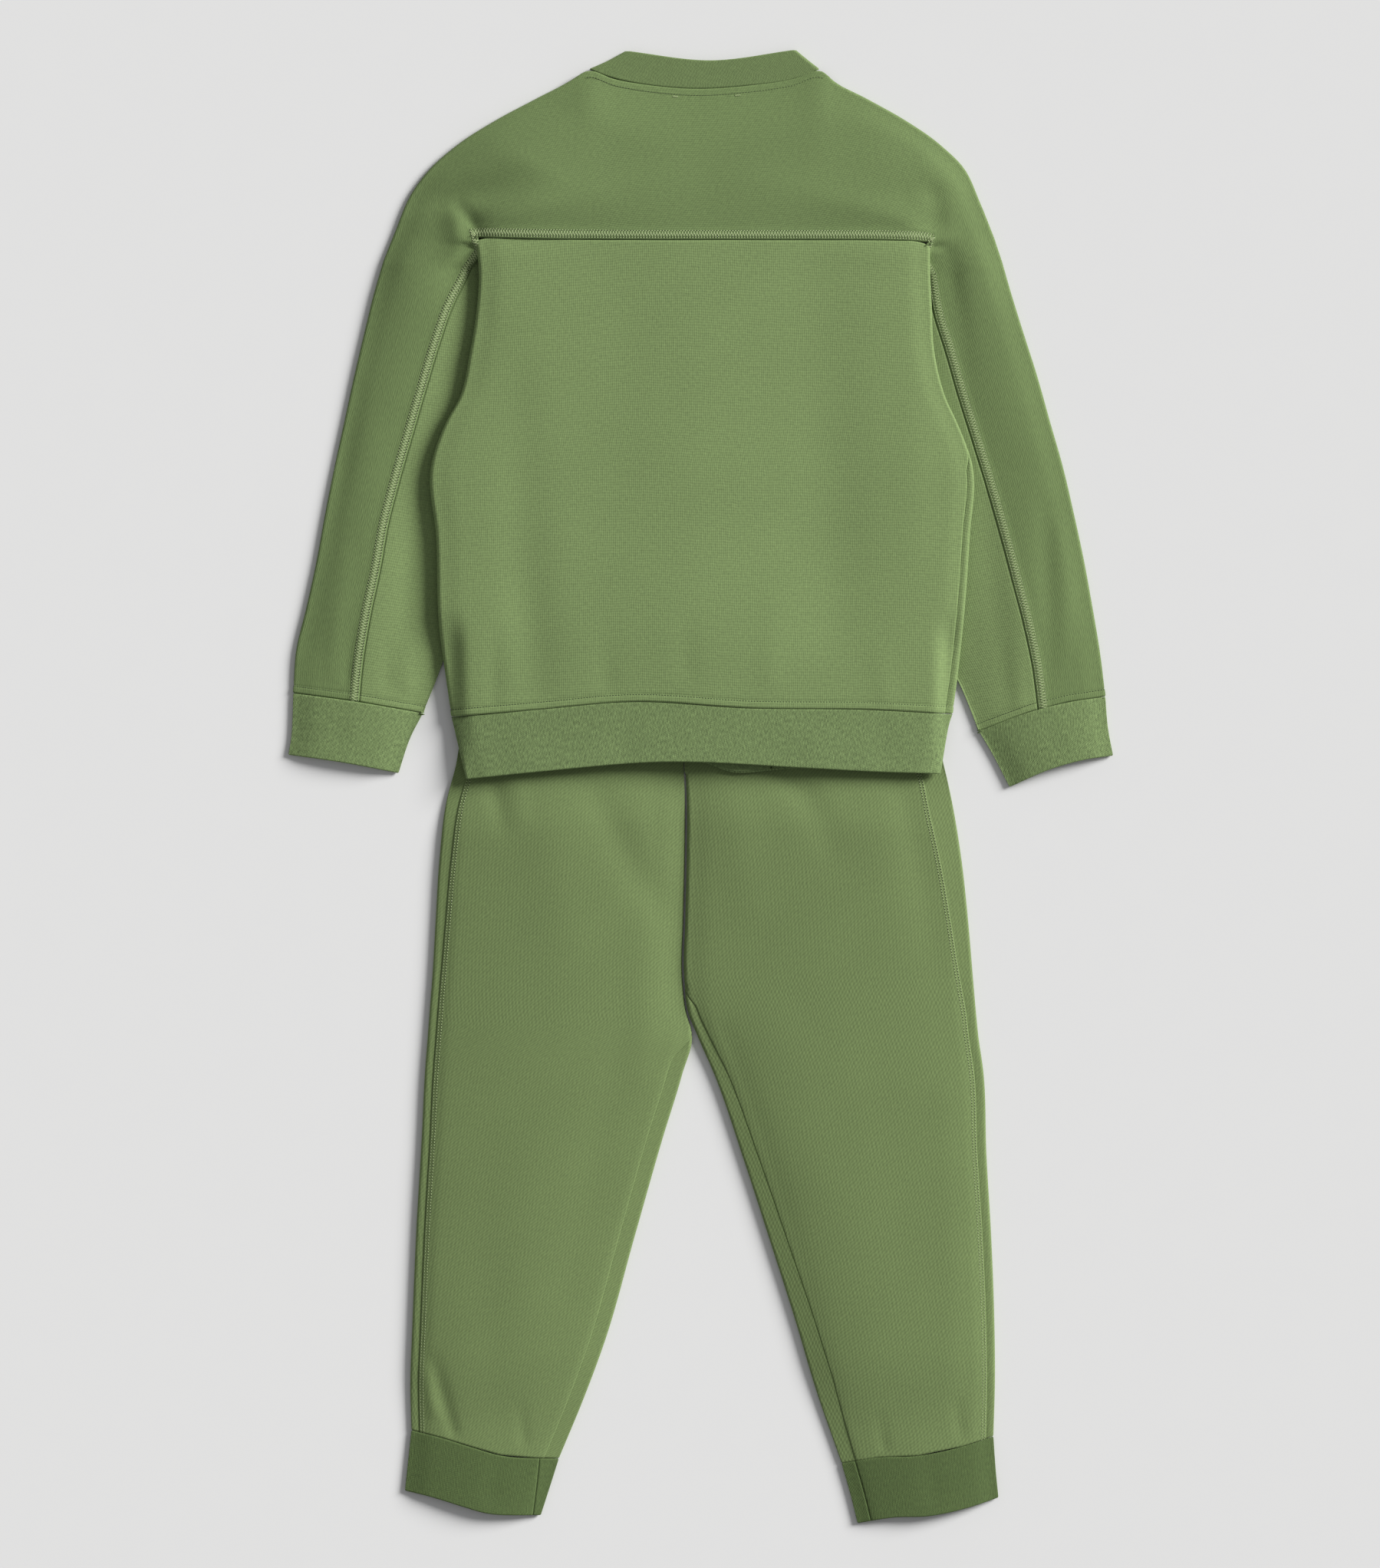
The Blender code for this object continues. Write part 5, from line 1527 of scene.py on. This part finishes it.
@dataclass
class Joggers:
    """The joggers' sections and seams, and the methods that make their panels."""
    # Sections from the waist down, as (left x, left y, right x, right y)
    left: Rows = (
        (-172, 72, -14, 72), (-198.4, 42, -14, 42), (-204.2, 16.3, -13.8, 16.3),
        (-211.8, -12.5, -12.7, -12.5), (-217.6, -60.5, -12.9, -60.5),
        (-220.8, -111.7, -14.1, -111.7), (-223.4, -156.5, -15.1, -156.5),
        (-225.9, -188.5, -11.6, -188.5), (-227.2, -206, -6.8, -206), (-229.8, -239.7, -15.4, -241),
        (-232.3, -291, -31.4, -293.4), (-236.8, -367.7, -54.4, -374), (-240.3, -451, -80, -463.7),
        (-241.9, -495.7, -97.3, -510.4), (-241, -536.6, -118, -560.3))
    right: Rows = (
        (-12.6, 72, 172, 72), (-12.6, 42, 196.5, 42), (-12.3, 16.3, 203.5, 16.3),
        (-11.2, -12.5, 209.9, -12.5), (-11.4, -60.5, 217.8, -60.5), (-12.6, -111.7, 223.4, -111.7),
        (-13.6, -156.5, 227.2, -156.5), (-10.1, -188.5, 230, -188.5), (-3.2, -206, 231.7, -206),
        (11.5, -239.7, 236.2, -238.4), (35.8, -310, 238.7, -307), (58.2, -379.2, 242.6, -374),
        (79.4, -445.8, 245.1, -438), (96.6, -503.4, 245.8, -492.5), (117.8, -564.2, 244.5, -541.8))
    ankle_left: Rows = (
        (-241, -536.8, -118, -560.5), (-243.8, -562.9, -124.8, -582),
        (-246.4, -587.2, -133.1, -607.7))
    ankle_right: Rows = (
        (117.8, -564.4, 244.5, -542), (125.4, -591, 246.4, -569.3), (131.2, -614.4, 248.7, -593))
    waist: Rows = ((-164, 107.8, 164, 107.8), (-172, 72.8, 172, 72.8))
    ankle_left_bow: Bow = ((0, 0), (0.21, -1.5), (0.41, -4.4), (0.6, -6.6), (0.85, -3.2), (1, 0))
    ankle_right_bow: Bow = ((0, 0), (0.25, -0.6), (0.5, -4.8), (0.8, -3.6), (1, 0))
    # Where the seams lie on the top, in from each edge, as (y, width)
    outseam_left: Rows = ((72, 12), (6, 11), (-60, 9.5), (-160, 6.6), (-540, 6.6))
    outseam_right: Rows = ((72, 19), (-25, 20), (-140, 12), (-190, 7.5), (-540, 6))
    inseam_left: Rows = ((-206, 12), (-290, 12.6), (-540, 12))
    inseam_right: Rows = ((-150, 6), (-180, 8), (-240, 11), (-495, 16.5), (-560, 12))
    # The sweatshirt's lower edge over the legs, as (x, y)
    hem_line: Rows = ((-195, 6), (-132, 13), (-37, 19.5), (86, 15), (141, 12), (200, 10.6))
    press: float = 0.46
    press_run: float = 52.0
    ankle_press: float = 0.3
    ankle_press_y: float = -470.0
    ankle_press_ramp: float = 70.0
    middle_columns: int = 40
    crotch_left: float = -192.0
    crotch_right: float = -150.0
    inseam_turn: float = 34.0
    centre_roll_left: float = 2.2
    centre_roll_right: float = 3.5
    settle_y: float = -150.0
    settle_run: float = 90.0
    ankle_bow_start: float = -420.0
    ankle_bow_run: float = 121.0
    roll_allowance: float = 1.5

    def settle(self, x: Array, y: Array, height: Array) -> Array:
        """Press the legs under the hem and flatten them towards the ankles."""
        below_hem = table_at(self.hem_line, x) - y
        pressed = smooth_step(1.0 - below_hem / self.press_run)
        to_ankle = smooth_step((self.ankle_press_y - y) / self.ankle_press_ramp)
        return height * (1.0 - self.press * pressed) * (1.0 - self.ankle_press * to_ankle)

    def inseam_place(self, y: float, table: Sequence[tuple[float, float]], crotch: float) -> float:
        """Return the inseam's place: under the centre roll, and on the top below the crotch."""
        turn = float(np.clip((crotch - y) / self.inseam_turn, 0.0, 1.0))
        on_top = table_at(table, y) + self.roll_allowance
        return UNDER_PLACE + (on_top - UNDER_PLACE) * turn

    def leg(self, side: str) -> list[Panel]:
        """Make a leg's back and front panels."""
        is_left = side == "left"
        rows = self.left if is_left else self.right
        rolls = (ROLL, self.centre_roll_left) if is_left else (self.centre_roll_right, ROLL)
        ankle_bow = self.ankle_left_bow if is_left else self.ankle_right_bow
        back, front = [], []
        for span in Loft(rows).spaced(FINE[:2], FINE[:8]):
            below = float(smooth_step((self.settle_y - span[1]) / self.settle_run))
            settled = tuple(roll + (ROLL - roll) * below for roll in rolls)
            late = float(np.clip((self.ankle_bow_start - span[1]) / self.ankle_bow_run, 0.0, 1.0))
            bow = [(share, value * late) for share, value in ankle_bow]
            ring = Ring(span[:2], span[2:4], rolls=settled, bows=(bow, bow))
            y_left, y_right = float(span[1]), float(span[3])
            if is_left:
                at_left = table_at(self.outseam_left, y_left) + self.roll_allowance
                at_right = self.inseam_place(y_right, self.inseam_left, self.crotch_left)
            else:
                at_left = self.inseam_place(y_left, self.inseam_right, self.crotch_right)
                at_right = table_at(self.outseam_right, y_right) + self.roll_allowance
            back.append(strip(ring, at_left, at_right, True, self.middle_columns))
            front.append(strip(ring, at_left - SEAM_GAP, at_right - SEAM_GAP, False,
                               self.middle_columns))
        out_side = Side.FIRST_COLUMN if is_left else Side.LAST_COLUMN
        plain = {Side.LAST_ROW: Seam.PLAIN, Side.FIRST_COLUMN: Seam.PLAIN,
                 Side.LAST_COLUMN: Seam.PLAIN}
        return [
            Panel(f"back_leg_{side}", np.array(back), Cloth.LEG, creases=LEG_CREASES,
                  seams={**plain, out_side: Seam.TWO_ROW}, settle=self.settle,
                  rests_on=(f"cloth_front_leg_{side}",)),
            Panel(f"front_leg_{side}", np.array(front), Cloth.LEG, seams=plain,
                  under_creases=UNDER_CREASES, settle=self.settle)]

    def bands(self) -> list[Panel]:
        """Make the ankle cuffs and the waistband."""
        left, right = (self.ankle_left_bow,) * 2, (self.ankle_right_bow,) * 2
        flat = (STRAIGHT,) * 2
        return [
            band("ankle_cuff_left", self.ankle_left, left, left, 112.0, settle=self.settle,
                 cloth=Cloth.ANKLE_RIB),
            band("ankle_cuff_right", self.ankle_right, right, right, 13.0, settle=self.settle,
                 cloth=Cloth.ANKLE_RIB),
            band("waistband", self.waist, flat, flat, -60.0, settle=self.settle,
                 free_first=True)]

    def panels(self) -> list[Panel]:
        """Make every panel of the joggers."""
        return [*self.leg("left"), *self.leg("right"), *self.bands()]

    def threads(self, panels: dict[str, Panel], tree: StitchTree,
                yarns: dict[str, bpy.types.Material]) -> dict[str, list[bpy.types.Object]]:
        """Sew the two rows beside each outer seam.

        Args:
            panels: The finished panels by name.
            tree: The stitch tree.
            yarns: Thread and needle-hole materials by name; the dark thread and holes are painted
                shade.

        Returns:
            The stitches on each panel.
        """
        thread, hole_shade = yarns["thread"], yarns["hole_shade"]
        result: dict[str, list[bpy.types.Object]] = {}
        for side, edge in (("left", Side.FIRST_COLUMN), ("right", Side.LAST_COLUMN)):
            panel = panels[f"back_leg_{side}"]
            rows = [panel.line(edge, place, IN_GROOVE)
                    for place in SEAM_FORMS[Seam.TWO_ROW].needle_rows]
            # The needle holes between the stitches are beads of painted shade
            hole_shades = [row.cut(STITCH_PITCH / 2) for row in rows]
            result[panel.name] = [
                tree.sew(f"outseam_rows_{side}", rows, NEEDLE_STITCH, thread, Slot.LEG),
                tree.sew(f"outseam_hole_shades_{side}", hole_shades, HOLE_SHADE, hole_shade, Slot.LEG)]
        return result


@dataclass
class Studio:
    """The pale floor, the soft light and the camera. Sizes are in metres."""
    frame_height: float = 1.3082
    centre: tuple[float, float] = (-0.0086, 0.0022)
    distance: float = 12.0
    sensor: float = 36.0
    floor_size: float = 12.0
    floor_drop: float = 0.0006
    sun_strength: float = 5.5
    sun_elevation: float = 24.0
    sun_azimuth: float = 31.0
    sun_spread: float = 26.0
    sky_strength: float = 0.3

    def floor(self) -> None:
        """Make the floor."""
        half = self.floor_size / 2
        corners = [(-half, -half), (half, -half), (half, half), (-half, half)]
        mesh = bpy.data.meshes.new("floor")
        mesh.from_pydata([(x, y, -self.floor_drop) for x, y in corners], [], [(0, 1, 2, 3)])
        mesh.materials.append(FloorFinish().make())
        place_object("floor", mesh)

    def light(self) -> None:
        """Add a soft, low light from the right and an even sky."""
        lamp = bpy.data.lights.new("soft_key", "SUN")
        lamp.energy = self.sun_strength
        lamp.angle = math.radians(self.sun_spread)
        lamp.color = (1.0, 0.995, 0.985)
        sun = place_object("soft_key", lamp)
        sun.rotation_euler = (0.0, math.radians(90.0 - self.sun_elevation),
                              math.radians(self.sun_azimuth))
        world = bpy.data.worlds.new("even_sky")
        world.use_nodes = True
        sky = world.node_tree.nodes["Background"]
        sky.inputs["Color"].default_value = (0.985, 0.99, 1.0, 1.0)
        sky.inputs["Strength"].default_value = self.sky_strength
        bpy.context.scene.world = world

    def camera(self) -> None:
        """Look straight down on the set, as the photograph does."""
        lens = bpy.data.cameras.new("camera")
        lens.sensor_fit = "VERTICAL"
        lens.sensor_height = self.sensor
        lens.lens = self.sensor * self.distance / self.frame_height
        lens.clip_end = 50.0
        camera = place_object("camera", lens)
        camera.location = (*self.centre, self.distance)
        bpy.context.scene.camera = camera

    def build(self) -> None:
        """Set up the studio."""
        self.camera()
        self.light()
        self.floor()
        bpy.context.scene.view_settings.view_transform = "Standard"


def dress(garment: Sweatshirt | Joggers, finishes: dict[Cloth, bpy.types.Material],
          tree: StitchTree, yarns: dict[str, bpy.types.Material]) -> None:
    """Build a garment's panels and stitches.

    Args:
        garment: The garment.
        finishes: The material of each cloth.
        tree: The stitch tree.
        yarns: Thread and needle-hole materials by name; the dark thread and holes are painted
            shade.
    """
    panels = {panel.name: panel for panel in garment.panels()}
    pieces = {name: panel.build(finishes) for name, panel in panels.items()}
    threads = garment.threads(panels, tree, yarns)
    for name, panel in panels.items():
        panel.declare(pieces[name], threads.get(name, []))


def main() -> None:
    """Build the studio and both garments around the solids."""
    logging.basicConfig(level=logging.INFO, format="%(name)s: %(message)s")
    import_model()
    Studio().build()
    finishes = {cloth: finish.make() for cloth, finish in KNITS.items()}
    yarns = {name: finish.make() for name, finish in YARNS.items()}
    tree = StitchTree()
    for garment in (Joggers(), Sweatshirt()):
        dress(garment, finishes, tree, yarns)


if __name__ == "__main__":
    main()
